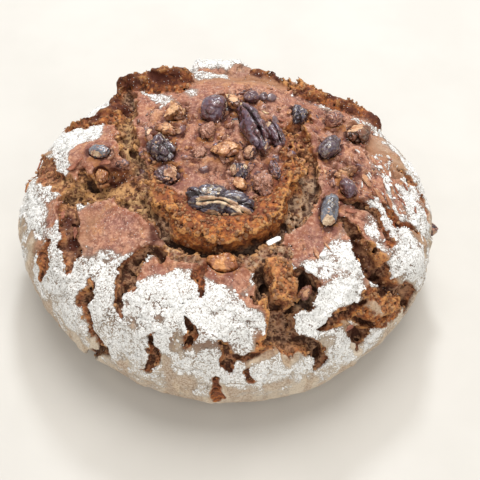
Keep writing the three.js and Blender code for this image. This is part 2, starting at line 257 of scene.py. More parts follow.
# ---- What the loaf looks like, place by place ----
# Tears: name, depth, overhang of the crust, colour of the crumb from grey (0) to orange (1), paths.
TEARS = [
    ("left_channel", 5.5, 1, 0.12, (-50, 60, 3.2, -48.5, 48, 4.2, -46, 30, 4.3, -43, 14, 3.8, -39, 0, 3.5,
     -37, -9, 4)),
    ("left_shelf", 6, 1, 0.25, (-36, -13, 4.5, -41, -22, 8, -36, -31, 4, -28, -37, 3.2, -24, -43, 3)),
    ("lip_recess", 11, 3.4, 0.05, (-25, -44, 2, -21, -46.2, 2.4, -15, -48.4, 1.8, -9, -50.6, 2.3, -2, -51.2,
     1.8, 6, -50, 2.3, 13, -47.3, 2.1, 20, -44, 2.4, 25, -38, 2.7)),
    ("recess_floor", 2.6, 0.6, -0.45, (-24, -51, 3.4, -12, -54.5, 4.4, 2, -56.5, 5.6, 12, -56.5, 5.6, 19,
     -53, 4.6, 25, -50.5, 3.6)),
    ("right_channel", 8.5, 2.5, 0.05, (24, -41, 3.2, 28, -36, 4.5, 32, -29, 5, 35, -20, 4.6, 37, -10, 4.2,
     37, 1, 3.6)),
    ("right_channel_top", 4.5, 1, 0.7, (37, 1, 3.6, 36, 10, 3.4, 34, 20, 4.5, 38, 28, 4)),
    ("left_front", 7.5, 2.5, 0.75, (-71, -11, 3.5, -61, -12, 7.2, -51, -11, 7.5, -43, -9, 5), (-61, -4.5,
     4.2, -53, -5.5, 4)),
    ("far_left", 2.2, 1, 0.3, (-72, -6, 4.5, -82, 6, 5.5, -95, 22, 6, -110, 38, 6.5)),
    ("left_ridge", 2, 0.5, 0.8, (-84, 45, 1.6, -74, 39, 2.8, -63, 34, 4.2, -54, 34, 5, -50, 44, 4)),
    ("left_fissure", 5.5, 2, 0.55, (-71, -19, 4, -70, -27, 4.6, -70, -36, 4.3, -71, -45, 3.8, -73, -50,
     3.5)),
    ("left_patch", 2, 0.5, 0.45, (-95, -44, 2.5, -88, -38.5, 3.6, -81, -33, 2.6)),
    ("low_left", 6, 2, 0.35, (-37, -51, 2, -41, -54, 3.2, -44.5, -58, 4.6, -45, -62, 4.6), (-48.5, -62, 3,
     -50, -70, 2.3, -50, -77, 1.3), (-33, -51, 2.5, -29, -54, 3)),
    ("flank_fissure", 4.5, 1.5, 0.5, (-62, -59, 1.3, -65, -63, 2.3, -70, -66, 2.8, -70, -73, 1.8, -70, -80,
     2.2, -69, -88, 3.8, -72, -94, 2.6)),
    ("flank_slit", 9, 2.5, 0.1, (-71, -94, 2.2, -80, -93.5, 2.8, -92, -95, 3.2, -106, -97, 2.8)),
    ("front_nick", 3.5, 1, 0.8, (-9, -60, 1.8, -11, -66, 2.2, -13, -72, 0.9)),
    ("front_fissure", 4.5, 1.2, 0.6, (-25, -70, -0.7, -20, -80, -0.3, -18.5, -83, 1.2, -16.5, -87, 3.2, -18,
     -91, 2.4, -22, -95, 0.2)),
    ("front_low_left", 4.5, 1.2, 0.6, (-33, -88, 0.8, -35, -93, 2.1, -36, -98, 2.4, -41, -102, 2, -47, -106,
     0.9)),
    ("front_low", 4.5, 1.5, 0.5, (-4, -89, 0.8, -2, -93, 2.3, -1, -98, 3, 0, -104, 2), (-1, -98, 2.4, 6,
     -98, 1.8, 12, -96, 2.4, 18, -93, 3.5)),
    ("front_gap", 9.5, 2.5, 0.3, (16, -62, 4, 17, -70, 5, 20, -77, 6, 23, -84, 8, 26, -91, 6, 36, -93, 4.5,
     44, -95, 3, 48, -99, 2.6, 49, -104, 2), (25, -61, 6, 27, -65, 7.5, 26, -72, 7)),
    ("block_hole", 12, 2, 0.1, (33.5, -60.5, 2.6, 35, -66, 4, 34.5, -71, 3.4)),
    ("plate_gap", 5, 1.5, 0.55, (63, -70, 1.4, 57, -74, 2.4, 50, -78, 2.4, 44, -82, 2, 41, -84, 0.9)),
    ("right_fissure", 8, 2.5, 0.42, (51, -33, 1.6, 55, -39, 3.6, 59, -47, 5.4, 66, -53, 6, 75, -58, 5.4, 90,
     -60, 5.2, 108, -60, 5.5)),
    ("right_inner", 5, 1.5, 0.35, (50, -20, 1.8, 57, -21.5, 2.6, 63, -25.5, 3, 67, -29, 1.8)),
    ("right_upper", 3, 1, 0.8, (69, -21, 1.8, 74, -25, 2.3, 80, -26, 2, 87, -28, 1.5), (70, -31, 1.3, 70.5,
     -36, 1.8, 71, -41, 1.3)),
    ("right_rim", 3.5, 1, 0.5, (82, 5, 1.6, 90, 2, 2.8, 95, -4, 3.6, 98, -14, 3.6)),
    ("right_low", 7.5, 2, 0.35, (60, -83, 2.6, 65, -84, 4.2, 72, -87, 3.8), (62, -77, 1.2, 68, -78, 1.6, 76,
     -80, 1)),
    ("right_brown", 1.5, 0.4, 0.75, (64, -65, 3, 76, -67, 4, 90, -65, 3.5), (62, -75, 3, 72, -78, 4.5, 82,
     -73, 5, 90, -67, 4)),
    ("front_foot", 0.8, 0.2, 0.9, (-8, -112, 2.6, -8, -120, 3.6, -7, -130, 3.6)),
    ("front_rim", 1.8, 0.5, 0.5, (9, -104, 1.4, 11, -111, 1.8)),
    ("back_notch", 6, 1.5, 0.6, (33, 80, 3, 34, 70, 3, 36, 58, 3.4)),
    ("back_left_hollow", 6, 1.5, 0.6, (-54, 84, 4, -36, 77, 5, -20, 75, 4)),
    ("back_hollow", 4.5, 1, 0.6, (15, 85, 4, 31, 80, 4.5)),
    ("back_right_hollow", 5, 1.5, 0.6, (44, 70, 4, 60, 63, 4.5, 78, 57, 4)),
    ("back_tear", 6.5, 2, 0.4, (-66, 92, 4, -46, 104, 5, -22, 108, 6, 8, 112, 5, 30, 106, 4, 48, 98, 4)),
    ("back_split", 5, 1.5, 0.5, (-8, 108, 3, -4, 122, 3, -8, 136, 1.5), (48, 98, 3, 60, 112, 3.5, 64, 128,
     2)),
    ("back_right", 5.5, 1.5, 0.45, (88, 62, 3.5, 84, 80, 5, 72, 98, 4)),
    ("back_far_left", 5, 1.5, 0.45, (-112, 52, 3, -100, 68, 5, -88, 88, 4.5)),
    ("left_flank", 3.5, 1, 0.5, (-118, 6, 2, -122, -14, 3, -114, -32, 2)),
]

# Deep holes in the crumb: u, v, half width along u, half width along v, depth.
HOLES = [
    (-59, -3.5, 4.4, 3.4, 15), (-56, -20, 4.6, 1.8, 11), (-64, -17.5, 3.6, 1.7, 10),
    (36.5, 1.5, 1.8, 3.4, 12), (16.3, -67.5, 2.2, 4.2, 15), (34, -64, 3.4, 5.4, 14), (22, -75, 4, 2.2, 13),
    (57.5, -44.5, 2.6, 3.2, 12), (65, -44, 2, 1.6, 9), (72.5, -53.5, 3.6, 2, 12), (63, -58, 2.4, 1.8, 11),
    (82, -57, 3, 1.6, 10), (64, -83.5, 2.2, 1.7, 11), (49, -101, 2.4, 3, 9), (-39.5, -53, 2.2, 1.6, 9),
    (-44, -58, 1.6, 1.3, 8), (-35, -93, 1.2, 2.6, 7), (-69.5, -34, 1.6, 4.2, 8), (-67, -40, 1.6, 1.8, 9),
    (65.5, -27.5, 1.8, 2.2, 9), (-70, -66, 1.7, 1.4, 7), (33.5, -23.5, 1.2, 2, 11), (30, -31, 1.6, 1.5, 11),
    (-27, 51, 1.6, 1.2, 5), (47, -15.5, 2.2, 1.6, 6), (13.5, -0.5, 1.5, 2, 5), (36, 53, 3, 3, 9),
    (66, 50, 4, 3, 9),
]

# Crust that stands proud: name, lift, softness of the edge, paths.
LIFTS = [
    ("cap", 2, 8, (-14, 12, 20, 2, 34, 28)),
    ("front_plate", 2, 4, (-40, -76, 11, -4, -80, 12)),
    ("right_plate", 2.6, 3.5, (44, -68, 10, 50, -56, 9)),
    ("right_flank_plate", 2.5, 4, (80, -40, 9, 94, -38, 9)),
    ("lower_left_plate", 2, 4, (-58, -40, 7, -38, -42, 7)),
    ("upper_left_plate", 3, 4, (-66, 12, 8, -54, 12, 9)),
    ("cap_lip", 4.5, 5, (-32, -14, 4, -24, -30, 6, -8, -40, 7.5, 6, -41, 7.5, 22, -33, 6, 30, -14, 4)),
    ("left_rim", 2.6, 2.5, (-86, 47, 1.6, -74, 41, 2.4, -64, 37, 3, -56, 38, 3.4)),
    ("back_left_rim", 8.5, 3, (-53, 69, 3.6, -46, 68, 4.5, -36, 62, 4.5, -19, 61, 4)),
    ("left_link", 3, 2.5, (-52, 66, 3.5, -54, 56, 2.6, -56, 46, 2.6, -60, 40, 3)),
    ("back_crown", 6, 5, (-10, 84, 7, 6, 84, 7)),
    ("back_stub", 4, 3.5, (18, 70, 4.5, 27, 68, 3.5)),
    ("right_back_rim", 6, 3.5, (35, 62.5, 3.8, 49, 50, 4.2, 64, 49.5, 4.5, 74, 47, 4, 77, 41, 3.6)),
    ("crumb_block", 3.2, 1.8, (24, -59, 5.4, 24.5, -70, 6)),
    ("fissure_block", 4, 3, (62, -42, 3, 68, -46, 3)),
    ("far_left_rim", 3.5, 3, (-100, 33, 2, -106, 30, 2.5, -112, 22, 2)),
]

# Torn crumb that isn't sunk, the front of the cap and the burnt rims: colour, paths.
RAISED_CRUMB = [
    (1, (-33, -6, 3.5, -32, -18, 5, -26, -30, 8.5, -11, -37.5, 11, 6, -38.5, 11.5, 19, -32, 10, 27, -21,
     7.5, 29, -8, 5, 28, 8, 3.6, 29, 18, 2.6)),
    (0.75, (-56, 68, 5, -46, 66, 6, -36, 60, 6, -18, 59, 5.5), (-53, 66, 4, -54, 56, 3.2, -56, 44, 3.6)),
    (0.8, (-86, 47, 1.4, -74, 41, 2.6, -62, 36, 3.6, -54, 39, 4)),
    (0.8, (34, 62, 4.5, 49, 49, 5, 64, 48, 5.5, 74, 46, 5, 77, 40, 4)),
    (0.9, (18, 71, 3.5, 28, 68, 3)),
    (0.8, (-98, 34, 2, -106, 30, 3, -112, 20, 3)),
]

# Blocks of crumb that stand up inside a tear: colour, paths.
FILLS = [
    (0.9, (20.5, -58.5, 3.4, 28.5, -58.5, 3.4), (24, -61, 6, 24.5, -66, 6.4, 24, -71, 5.6)),
    (1, (62, -41, 2.6, 68, -46, 3.2), (79, -53, 3, 84, -52, 3)),
    (0.9, (15, -76, 2.6, 16, -91, 2.6)),
    (0.7, (12, -94, 1.8, 30, -99, 2, 38, -97, 1.6)),
    (0.6, (72, -70, 3, 84, -64, 4)),
]

# Flour lies on the outer crust, and here on the inner crust too: amount, paths.
FLOURED = [
    (1, (-45, -73, 5, -37, -72, 8, -28, -69, 7, -20, -66, 5), (-30, -82, 12, -14, -76, 7, -2, -80, 11, 7,
     -85, 8)),
    (0.95, (-60, -90, 6, -44, -92, 7, -28, -90, 6), (-24, -96, 6, -12, -92, 5, -6, -98, 6), (-22, -104, 5,
     4, -110, 6, 34, -106, 6, 62, -95, 4)),
    (0.95, (-62, -72, 6, -58, -62, 6, -60, -52, 6, -72, -54, 6, -84, -50, 7, -95, -40, 6)),
    (0.95, (-84, -72, 7, -78, -62, 7), (-88, -22, 5, -92, -8, 7, -98, 4, 9)),
    (1.3, (-68, 20, 7, -77, 31, 10, -72, 44, 6), (-60, 20, 4, -64, 28, 7), (-96, 24, 3, -92, 40, 8, -78, 58,
     9, -65, 60, 7), (-80, 47, 4, -68, 46, 4)),
    (1.3, (38, -58, 4, 45, -52, 6, 52, -57, 7, 52, -66, 8, 42, -74, 6, 36, -82, 4), (46, -46, 2.5, 53, -48,
     3)),
    (1, (40, -86, 3.5, 50, -87, 5, 58, -92, 6, 72, -96, 5, 84, -84, 5), (36, -78, 4, 40, -88, 4)),
    (1.15, (61, -30, 1.8, 66, -38, 2), (74, -14, 2.5, 72, -20, 2), (76, -35, 7.5, 80, -44, 8, 92, -48, 7)),
    (0.95, (84, -8, 4.5, 86, -18, 4.5, 96, -22, 5), (98, 18, 8, 90, 34, 9, 80, 50, 8), (100, -32, 5, 106,
     -40, 5)),
    (0.8, (-36, 54, 3, -31, 48, 4, -28, 43, 2), (-17, 50, 2.6, -15, 45, 2)),
    (0.5, (8, 62, 3, 18, 58, 3), (66, 6, 3, 72, -3, 6, 78, -10, 6)),
    (1, (-12, 86, 9, 8, 86, 9)),
]

PLACES = {
    # Small pieces of nut lie close under the crust.
    "nutty": [(-38, 0, 8, -24, 30, 12), (0, 0, 16, 14, 30, 20), (22, -12, 9, 36, 18, 10),
        (50, -10, 10, 58, 28, 12)],
    # Crust that baked golden rather than red.
    "golden": [(60, 24, 6, 72, 16, 9, 80, 10, 8), (-20, 66, 6, 0, 64, 8, 26, 62, 8),
        (-88, 16, 8, -74, -4, 6), (-62, -36, 2, -59, -28, 2.5)],
    # Crumb that is yellower than the rest.
    "sallow": [(-78, -4, 7, -58, -10, 8, -44, -16, 8, -36, -27, 6), (-42, 6, 5, -46, 36, 5)],
    # Crust cracked into fine veins, with flour on their crests.
    "veined": [(58, -6, 6, 72, -12, 11, 84, 0, 9), (70, 4, 6, 86, -12, 8)],
    # Crumb that tore smooth rather than ragged.
    "calm": [(-22, -53, 4, 0, -58, 5, 14, -60, 5), (-104, 30, 6, -82, 4, 6, -72, -8, 5),
        (-60, -14, 5, -44, -14, 5), (28, -34, 4, 36, -16, 4)],
    # Rims that burnt along their tops.
    "singed": [(-58, 68, 7, -46, 66, 8, -36, 60, 8, -19, 59, 7),
        (46, 54, 6, 64, 50, 9, 76, 46, 9, 80, 38, 7), (17, 70, 5, 28, 68, 5),
        (-54, 66, 4, -56, 54, 4, -58, 44, 4), (-86, 48, 2, -74, 42, 3, -62, 38, 4)],
    # Rims whose crumb tore in clumps.
    "rims": [(-58, 68, 8, -46, 66, 9, -36, 60, 9, -17, 59, 8), (15, 70, 6, 30, 68, 6),
        (-53, 66, 6, -54, 54, 5, -56, 44, 5)],
    # Places that burnt nearly black-brown.
    "charred": [(-62, 38, 3, -54, 44, 4, -50, 52, 3), (-32, -38, 2, -29, -46, 3, -31, -51, 2),
        (57, -40, 2, 62, -50, 3, 74, -56, 3, 90, -60, 3), (-72, -22, 3, -71, -40, 3),
        (-46, -2, 4, -50, -4, 3), (64, -84, 3, 72, -87, 3), (-74, -94, 3, -100, -96, 4),
        (50, -22, 2, 60, -25, 2)],
    # Little light gets here, under the cap's lip and in deep holes.
    "gloom": [(-26, -44, 1.5, -21, -46.6, 2, -12, -49.8, 2, -2, -51, 2, 6, -50.2, 2, 13, -47.5, 2, 20, -44,
         1.8), (34, -60, 2, 35.5, -66, 3.4, 35, -71, 2.6), (16.5, -63, 1.6, 16.3, -70, 2),
        (-61, -3, 2.6, -56, -2, 2.4)],
    # Outer crust without flour.
    "bare": [(-70, -3, 3, -64, 0, 4, -60, 2, 4), (-60, -26, 4, -66, -26, 4),
        (-64, -34, 5, -52, -37, 9, -40, -42, 8), (20, -50, 4, 30, -46, 5, 38, -42, 5),
        (-66, 16, 3, -62, 6, 4), (64, 14, 10, 74, 12, 10, 82, 14, 7), (58, -4, 7, 64, -10, 5),
        (-40, -60, 3, -24, -57, 3.5, -8, -60, 3.5, 6, -64, 3.5), (62, -76, 3, 74, -72, 5, 84, -70, 4),
        (30, 66, 14, 12, 70, 10), (-28, 70, 6, -20, 66, 6), (66, -88, 3, 72, -92, 3),
        (56, -36, 3, 60, -40, 3), (-56, 69, 6, -46, 68, 7, -36, 62, 6, -18, 61, 6),
        (36, 60, 6, 50, 50, 8, 64, 50, 9, 77, 44, 7), (16, 70, 6, 28, 68, 6), (-76, -14, 4, -78, -22, 3),
        (-58, 32, 3)],
}
# How far outside and inside its paths each place fades in.
PLACE_EDGES = {
    "nutty": (-8, 4), "golden": (-5, 4), "sallow": (-4, 3), "veined": (-3, 2), "calm": (-3, 2),
    "singed": (-3, 1), "rims": (-3, 0), "charred": (-2, 2), "gloom": (-1.5, 1), "bare": (-1.5, 1.5),
}
VEIN_TURN = math.radians(-50)
VEIN_LENGTH = 9.0
VEIN_GAP = 2.6

# Each kernel: shape, how much dough coats it, how brown (0) or blue-grey (1) its skin looks, the blue-grey
# partly skin colour and partly a painted reflection of the sky, wholly painted reflection past 0.95, and its
# broken faces: directions in its own axes (along, across, outward) and the share of the radius that is left.
KERNELS = {
    "walnut_lip": ("long", 0, 0.75, (0.22, -0.95, 0.1, 0.8)),
    "walnut_left": ("chunk", 0.15, 0.5, (-0.3, 0.9, 0.1, 0.62), (-0.9, -0.1, 0.4, 0.6)),
    "walnut_left_pale": ("chunk", 0.3, 0.2, (0, -0.3, 1, 0.6), (0.5, 0.8, 0.3, 0.6), (-0.7, 0.4, 0.5, 0.66)),
    "walnut_left_back": (
        "chunk", 0.2, 0.3, (-0.4, 0.4, 0.8, 0.62), (0.2, 0.9, 0.2, 0.62), (0.2, -0.9, 0.3, 0.7),
    ),
    "walnut_left_front": ("chunk", 0.35, 0.6, (0.4, -0.7, 0.5, 0.64), (0.8, 0.1, 0.5, 0.7)),
    "walnut_round": ("smooth", 0.15, 0.5, (0.7, -0.6, 0.2, 0.9)),
    "walnut_round_chip": ("chip", 0, 0.2, (0, -0.1, 1, 0.42)),
    "walnut_crown": ("folded", 0.1, 0.45, (0.9, 0.2, 0.4, 0.88)),
    "walnut_crown_side": ("folded", 0.2, 0.5, (-0.8, -0.4, 0.5, 0.8)),
    "walnut_back_small": ("smooth", 0.3, 0.2),
    "walnut_centre": ("chunk", 0.35, 0.1, (0.1, -0.4, 0.9, 0.55), (-0.7, 0, 0.6, 0.62)),
    "walnut_centre_right": ("chunk", 0.4, 0.5, (0, 0.4, 0.9, 0.66), (-0.8, -0.2, 0.5, 0.7)),
    "walnut_centre_left": ("chunk", 0.75, 0.1, (-0.3, -0.4, 0.8, 0.7)),
    "walnut_middle": ("chunk", 0.8, 0.2, (0.5, 0.5, 0.7, 0.74)),
    "walnut_front_dark": ("chunk", 0.4, 0.6, (-0.5, -0.8, 0.3, 0.74), (0.4, 0.5, 0.7, 0.8)),
    "walnut_front_lump": ("chunk", 0.75, 0.5, (-0.5, -0.3, 0.8, 0.78)),
    "walnut_front_pale": ("chip", 0.1, 0.1, (0, -0.4, 0.9, 0.5)),
    "walnut_right_slim": ("long", 0.45, 0.6),
    "walnut_back_grey": ("chunk", 0.2, 0.9, (0.8, -0.4, 0.3, 0.76)),
    "walnut_back_brown": ("smooth", 0.55, 0.1, (0.2, 0.6, 0.8, 0.8)),
    "walnut_back_pale": ("chunk", 0, 0.2, (0.1, 0.75, 0.65, 0.5)),
    "walnut_right": ("smooth", 0.05, 0.75, (0.9, 0.2, 0.2, 0.86)),
    "walnut_right_cave": ("chunk", 0.5, 0.3, (0.3, 0.7, 0.6, 0.66)),
    "walnut_right_long": ("chunk", 0.4, 0.2, (-0.8, -0.3, 0.5, 0.6), (0.3, -0.9, 0.2, 0.65)),
    "walnut_right_round": ("smooth", 0.25, 0.35),
    "walnut_right_grey": ("smooth", 0.1, 1.2, (-0.9, -0.1, 0.2, 0.66), (0.3, -0.9, 0.1, 0.76)),
    "walnut_left_blue": ("smooth", 0.4, 1.2, (0.1, -0.85, 0.3, 0.66)),
    "walnut_cave": ("chunk", 0.45, 0.1, (0, -0.5, 0.8, 0.5)),
    "walnut_under_lip": ("chip", 0.1, 0.1, (0, -0.2, 1, 0.58)),
    "walnut_front_hole": ("chunk", 0.2, 0.2, (0, -0.4, 0.9, 0.6)),
    "walnut_right_edge": ("chunk", 0.5, 0.3, (0.5, 0.4, 0.7, 0.75), (-0.6, -0.5, 0.5, 0.75)),
}
# Kernels with plum-coloured skin, by how much.
PLUM = {
    "walnut_crown": 0.85, "walnut_crown_side": 0.7, "walnut_round": 0.75, "walnut_right_round": 0.5,
    "walnut_back_small": 0.5, "walnut_right_slim": 0.6, "walnut_right": 0.25, "walnut_front_lump": 0.4,
}
# Kernels that oil turned amber, by how much.
AMBER = {
    "walnut_under_lip": 0.95, "walnut_cave": 0.75, "walnut_centre": 0.55, "walnut_front_pale": 0.5,
    "walnut_left_pale": 0.35, "walnut_left_back": 0.3, "walnut_right_long": 0.4, "walnut_front_hole": 0.3,
}
# Kernels that lie in holes, held only from below.
LYING = {"walnut_cave", "walnut_under_lip", "walnut_front_hole"}
# Kernels that reach further than their solids, by this much.
GROWN = {"walnut_under_lip": 1.08, "walnut_crown": 1.12, "walnut_lip": 1.08, "walnut_round_chip": 1.25}
# Of each shape: large lumps, wrinkles and the fold along the middle, as shares of the radius, and flat cuts.
SHAPES = {
    "long": (0.12, 0.15, 0.14, 2), "chunk": (0.26, 0.28, 0, 6), "smooth": (0.17, 0.075, 0, 3),
    "folded": (0.2, 0.12, 0.34, 2), "chip": (0.2, 0.16, 0, 2),
}
# Of each nut material: warm skin, cold blue-grey skin that is partly a painted reflection of the sky, light
# and dark flesh, roughness of the skin.
NUT_COLOURS = {
    "walnut_dark": (
        (0.09, 0.03, 0.03), (0.085, 0.068, 0.095), (0.72, 0.54, 0.35), (0.38, 0.2, 0.11), 0.22,
    ),
    "walnut_toasted": (
        (0.15, 0.048, 0.038), (0.15, 0.095, 0.105), (0.58, 0.33, 0.19), (0.28, 0.11, 0.055), 0.30,
    ),
    "walnut_pale": (
        (0.18, 0.066, 0.034), (0.2, 0.12, 0.09), (0.68, 0.42, 0.235), (0.44, 0.18, 0.07), 0.36,
    ),
}

# Thin pieces of crust and skin: u, v, length, width, yaw in degrees, how far the ends curl up, kind.
FLAKES = [
    (20.8, -45.9, 6.3, 2.4, 30, 0.1, "chip"), (60, -8, 13, 5, -52, 1.2, "skin"),
    (66, -15, 14, 4.6, -34, 1.4, "skin"), (71, -19, 9, 3.4, -60, 1, "skin"),
    (69, 1, 6, 2.6, 20, 0.8, "flour"), (75, -3, 5.5, 2.5, -20, 0.7, "flour"),
    (71, -12, 7, 3, -50, 0.9, "flour"), (79, -9, 6, 3, -70, 0.8, "flour"),
    (83, -24, 7, 3.2, 15, 0.9, "flour"), (90, -30, 6, 3, -30, 0.8, "flour"),
    (47, -22, 8, 4, -70, 0.9, "crust"), (53, -28, 7, 3.5, 10, 0.9, "crust"),
    (43, -46, 5.5, 1.6, -55, 0.8, "skin"), (36, -47, 7, 2.6, -60, 1.2, "skin"),
    (40, -50, 6, 2.4, 35, 0.8, "flour"), (56, -80, 6, 3, 20, 0.8, "crust"),
    (-103, 33, 8, 3, 60, 1.2, "crust"), (-99, 37, 6, 2.5, 30, 1, "crust"),
    (-65, 2, 13, 4.5, 12, 1, "crust"), (-52, 2, 10, 4, -10, 1, "crust"),
    (-73, -20, 7, 3.5, 70, 0.9, "crust"), (-68, -30, 8, 3.5, 95, 1, "crust"),
    (6.5, 31, 7, 4.6, 70, 0.6, "cream"), (20, 30, 5.5, 2.8, 8, 0.4, "cream"),
    (2.5, 36, 7.5, 4.6, -50, 1, "cream"), (109.5, -17, 10, 5, 80, 1, "crust"),
    (28, 26, 8, 4, 20, 1, "crust"), (33, 8, 7, 3.5, 60, 0.9, "crust"),
]
# Loose things: how many there are.
FLOUR_GRAINS = 9000
FLOUR_FLAKES = 1500
FLOUR_DUST = 1500
CRUMBS = 4500
LARGE_CRUMBS = 1300  # of them
# Bits of nut: how many, smallest and largest half length.
NUT_BITS = {"dark": (40, 1.3, 3.2), "toasted": (110, 1.6, 4.2), "pale": (26, 1.3, 2.8)}

# Of each kind of flake: slot, light and dark colour, colour of its specks.
FLAKE_KINDS = {
    "flour": ("flour", (0.93, 0.925, 0.91), (0.76, 0.74, 0.7), (0.25, 0.21, 0.18)),
    # The chip is whiter than the flour flakes: its own white, and painted light against the shade it lies in
    # by the cap's lip.
    "chip": ("flour", (0.97, 0.965, 0.955), (0.9, 0.89, 0.87), (0.42, 0.38, 0.34)),
    "skin": ("walnut_pale", (0.5, 0.25, 0.125), (0.33, 0.125, 0.06), (0.74, 0.56, 0.4)),
    "cream": ("walnut_pale", (0.8, 0.63, 0.41), (0.62, 0.4, 0.2), (0.3, 0.15, 0.07)),
    "crust": ("crust", (0.36, 0.13, 0.075), (0.22, 0.07, 0.04), (0.52, 0.27, 0.16)),
}
SPLINTERS = 28  # flaking bits on the right shoulder
FLAKE_HALF_THICKNESS = 0.45
FLAKE_LIFT = 0.8  # the middle of a flake lies this far over the bread
CHIP_FACING = np.array([0.05, -0.1, 1.0])  # the way that the flat of a chip in a tear looks

# Camera, floor and lamps, in metres and watts.
CAMERA_ELEVATION = 51.0
CAMERA_LENS = 64.5
CAMERA_DISTANCE = 0.430
AIM = Vector((0.0, 0.0, 0.030))
CAMERA_ASIDE = 0.0070  # the loaf sits this much left of and above the middle of the picture
FLOOR_HALF = 3.0
FLOOR_LEVEL = -0.0001
FLOOR_TINTS = ((0.585, 0.56, 0.518), (0.615, 0.59, 0.548))
LAMPS = [
    ("key", (0.08, 0.32, 1.30), 0.85, 11.5, (1.0, 0.98, 0.95)),
    ("fill", (0.10, -1.0, 0.85), 1.5, 6.0, (1.0, 0.985, 0.955)),
    ("window", (0.05, 0.75, 0.95), 0.18, 6.0, (0.90, 0.95, 1.0)),
]


# ---- Maps over the crust ----
axis_line = np.arange(-MAP_HALF, MAP_HALF + MAP_STEP, MAP_STEP, dtype=np.float32)
map_u, map_v = np.meshgrid(axis_line, axis_line, indexing="ij")
map_points = columns(map_u, map_v)
walked_map = np.hypot(map_u, map_v)


def stroke(path, reach=16.0):
    """Depth inside the edge of one path, over the map: negative outside."""
    inside = np.full(map_u.shape, -99.0, np.float32)
    points = np.array(path, float).reshape(-1, 3)
    low = points[:, :2].min(0) - points[:, 2].max() - reach
    high = points[:, :2].max(0) + points[:, 2].max() + reach
    first = np.clip(((low + MAP_HALF) / MAP_STEP).astype(int), 0, len(axis_line))
    last = np.clip(((high + MAP_HALF) / MAP_STEP).astype(int) + 1, 0, len(axis_line))
    window = (slice(first[0], last[0]), slice(first[1], last[1]))
    u, v, best = map_u[window], map_v[window], inside[window]
    for (au, av, ah), (bu, bv, bh) in zip(points[:-1], points[1:]):
        du, dv = bu - au, bv - av
        t = np.clip(((u - au) * du + (v - av) * dv) / (du * du + dv * dv), 0.0, 1.0)
        gap = np.hypot(u - au - t * du, v - av - t * dv)
        best = np.maximum(best, ah + t * (bh - ah) - gap)
    inside[window] = best
    return inside


def strokes(paths):
    return np.maximum.reduce([stroke(path) for path in paths])


def near_place(name):
    """1 inside the paths of a place, 0 well outside."""
    return ramp(strokes(PLACES[name]), *PLACE_EDGES[name])


def tear_maps(zero):
    """What the tears, raised crumb and blocks of crumb do."""
    tear, tone = zero - 99.0, zero + 0.6
    depth, under, crumb, fill, holes = (zero.copy() for _ in range(5))
    for _name, deep, overhang, colour, *paths in TEARS:
        inside = strokes(paths)
        tear = np.maximum(tear, inside)
        depth = np.maximum(depth, deep * ramp(inside + 0.6 * overhang, -0.8, 2.8))
        under = np.maximum(under, overhang * ramp(inside, -overhang - 5.0, -overhang))
        tone = mix(tone, colour, ramp(inside, -4.0, 1.0))
    for colour, *paths in RAISED_CRUMB:
        weight = ramp(strokes(paths), -0.5, 0.5)
        crumb = np.maximum(crumb, weight)
        tone = mix(tone, colour, weight * (1 - ramp(tear, -0.5, 1.5)))
    for u, v, half_u, half_v, deep in HOLES:
        gap = np.hypot((map_u - u) / half_u, (map_v - v) / half_v)
        holes = np.maximum(holes, deep * ramp(-gap, -1.25, -0.7))
    for colour, *paths in FILLS:
        weight = ramp(strokes(paths), -1.5, 1.5)
        fill = np.maximum(fill, weight)
        tone = mix(tone, colour, weight)
    depth = np.maximum(depth * (1 - fill), holes * ramp(tear, -2.0, 0.5))
    return {"tear": tear, "depth": depth, "under": under, "crumb": crumb, "fill": fill, "tone": tone}


def vein_map():
    along = map_u * math.cos(VEIN_TURN) + map_v * math.sin(VEIN_TURN)
    across = map_v * math.cos(VEIN_TURN) - map_u * math.sin(VEIN_TURN)
    drawn = columns(along / VEIN_LENGTH, across / VEIN_GAP)
    return ramp(-np.abs(noise(drawn, 1.0, 46)), -0.20, -0.05) * near_place("veined")


def top_map(tear, nutty, veins, outer, top):
    """Height of the crust over the dome: plates, waves, lumps of nut, flat scales and curled edges."""
    for _name, lift, soft, *paths in LIFTS:
        top = np.maximum(top, lift * ramp(strokes(paths), -soft, soft))
    waves = 0.9 * noise(map_points, 16.0, 9) + 0.7 * noise(map_points, 8.0, 10)
    lumps = np.clip(noise(map_points, 6.0, 18) + 0.6 * noise(map_points, 3.0, 19), -0.7, 1.0)
    waves = waves + nutty * (2.3 * lumps + 0.5 * noise(map_points, 1.7, 29))
    curl = 0.9 * ramp(tear, -5.0, -0.8) * (1 - ramp(walked_map, 88.0, 100.0))
    wander = columns(noise(map_points, 5.0, 12), noise(map_points, 5.0, 13)) * 1.5
    edge, chance = cells(map_points + wander, 11.0, 14)
    cracked = 1.1 * ramp(-edge, -0.7, 0.0) * ramp(noise(map_points, 18.0, 15), -0.3, 0.3)
    scales = outer * (0.55 * chance - cracked)
    fine = 0.20 * noise(map_points, 2.2, 16) + 0.30 * noise(map_points, 4.2, 17)
    return top + waves + scales + fine + curl + 0.8 * veins


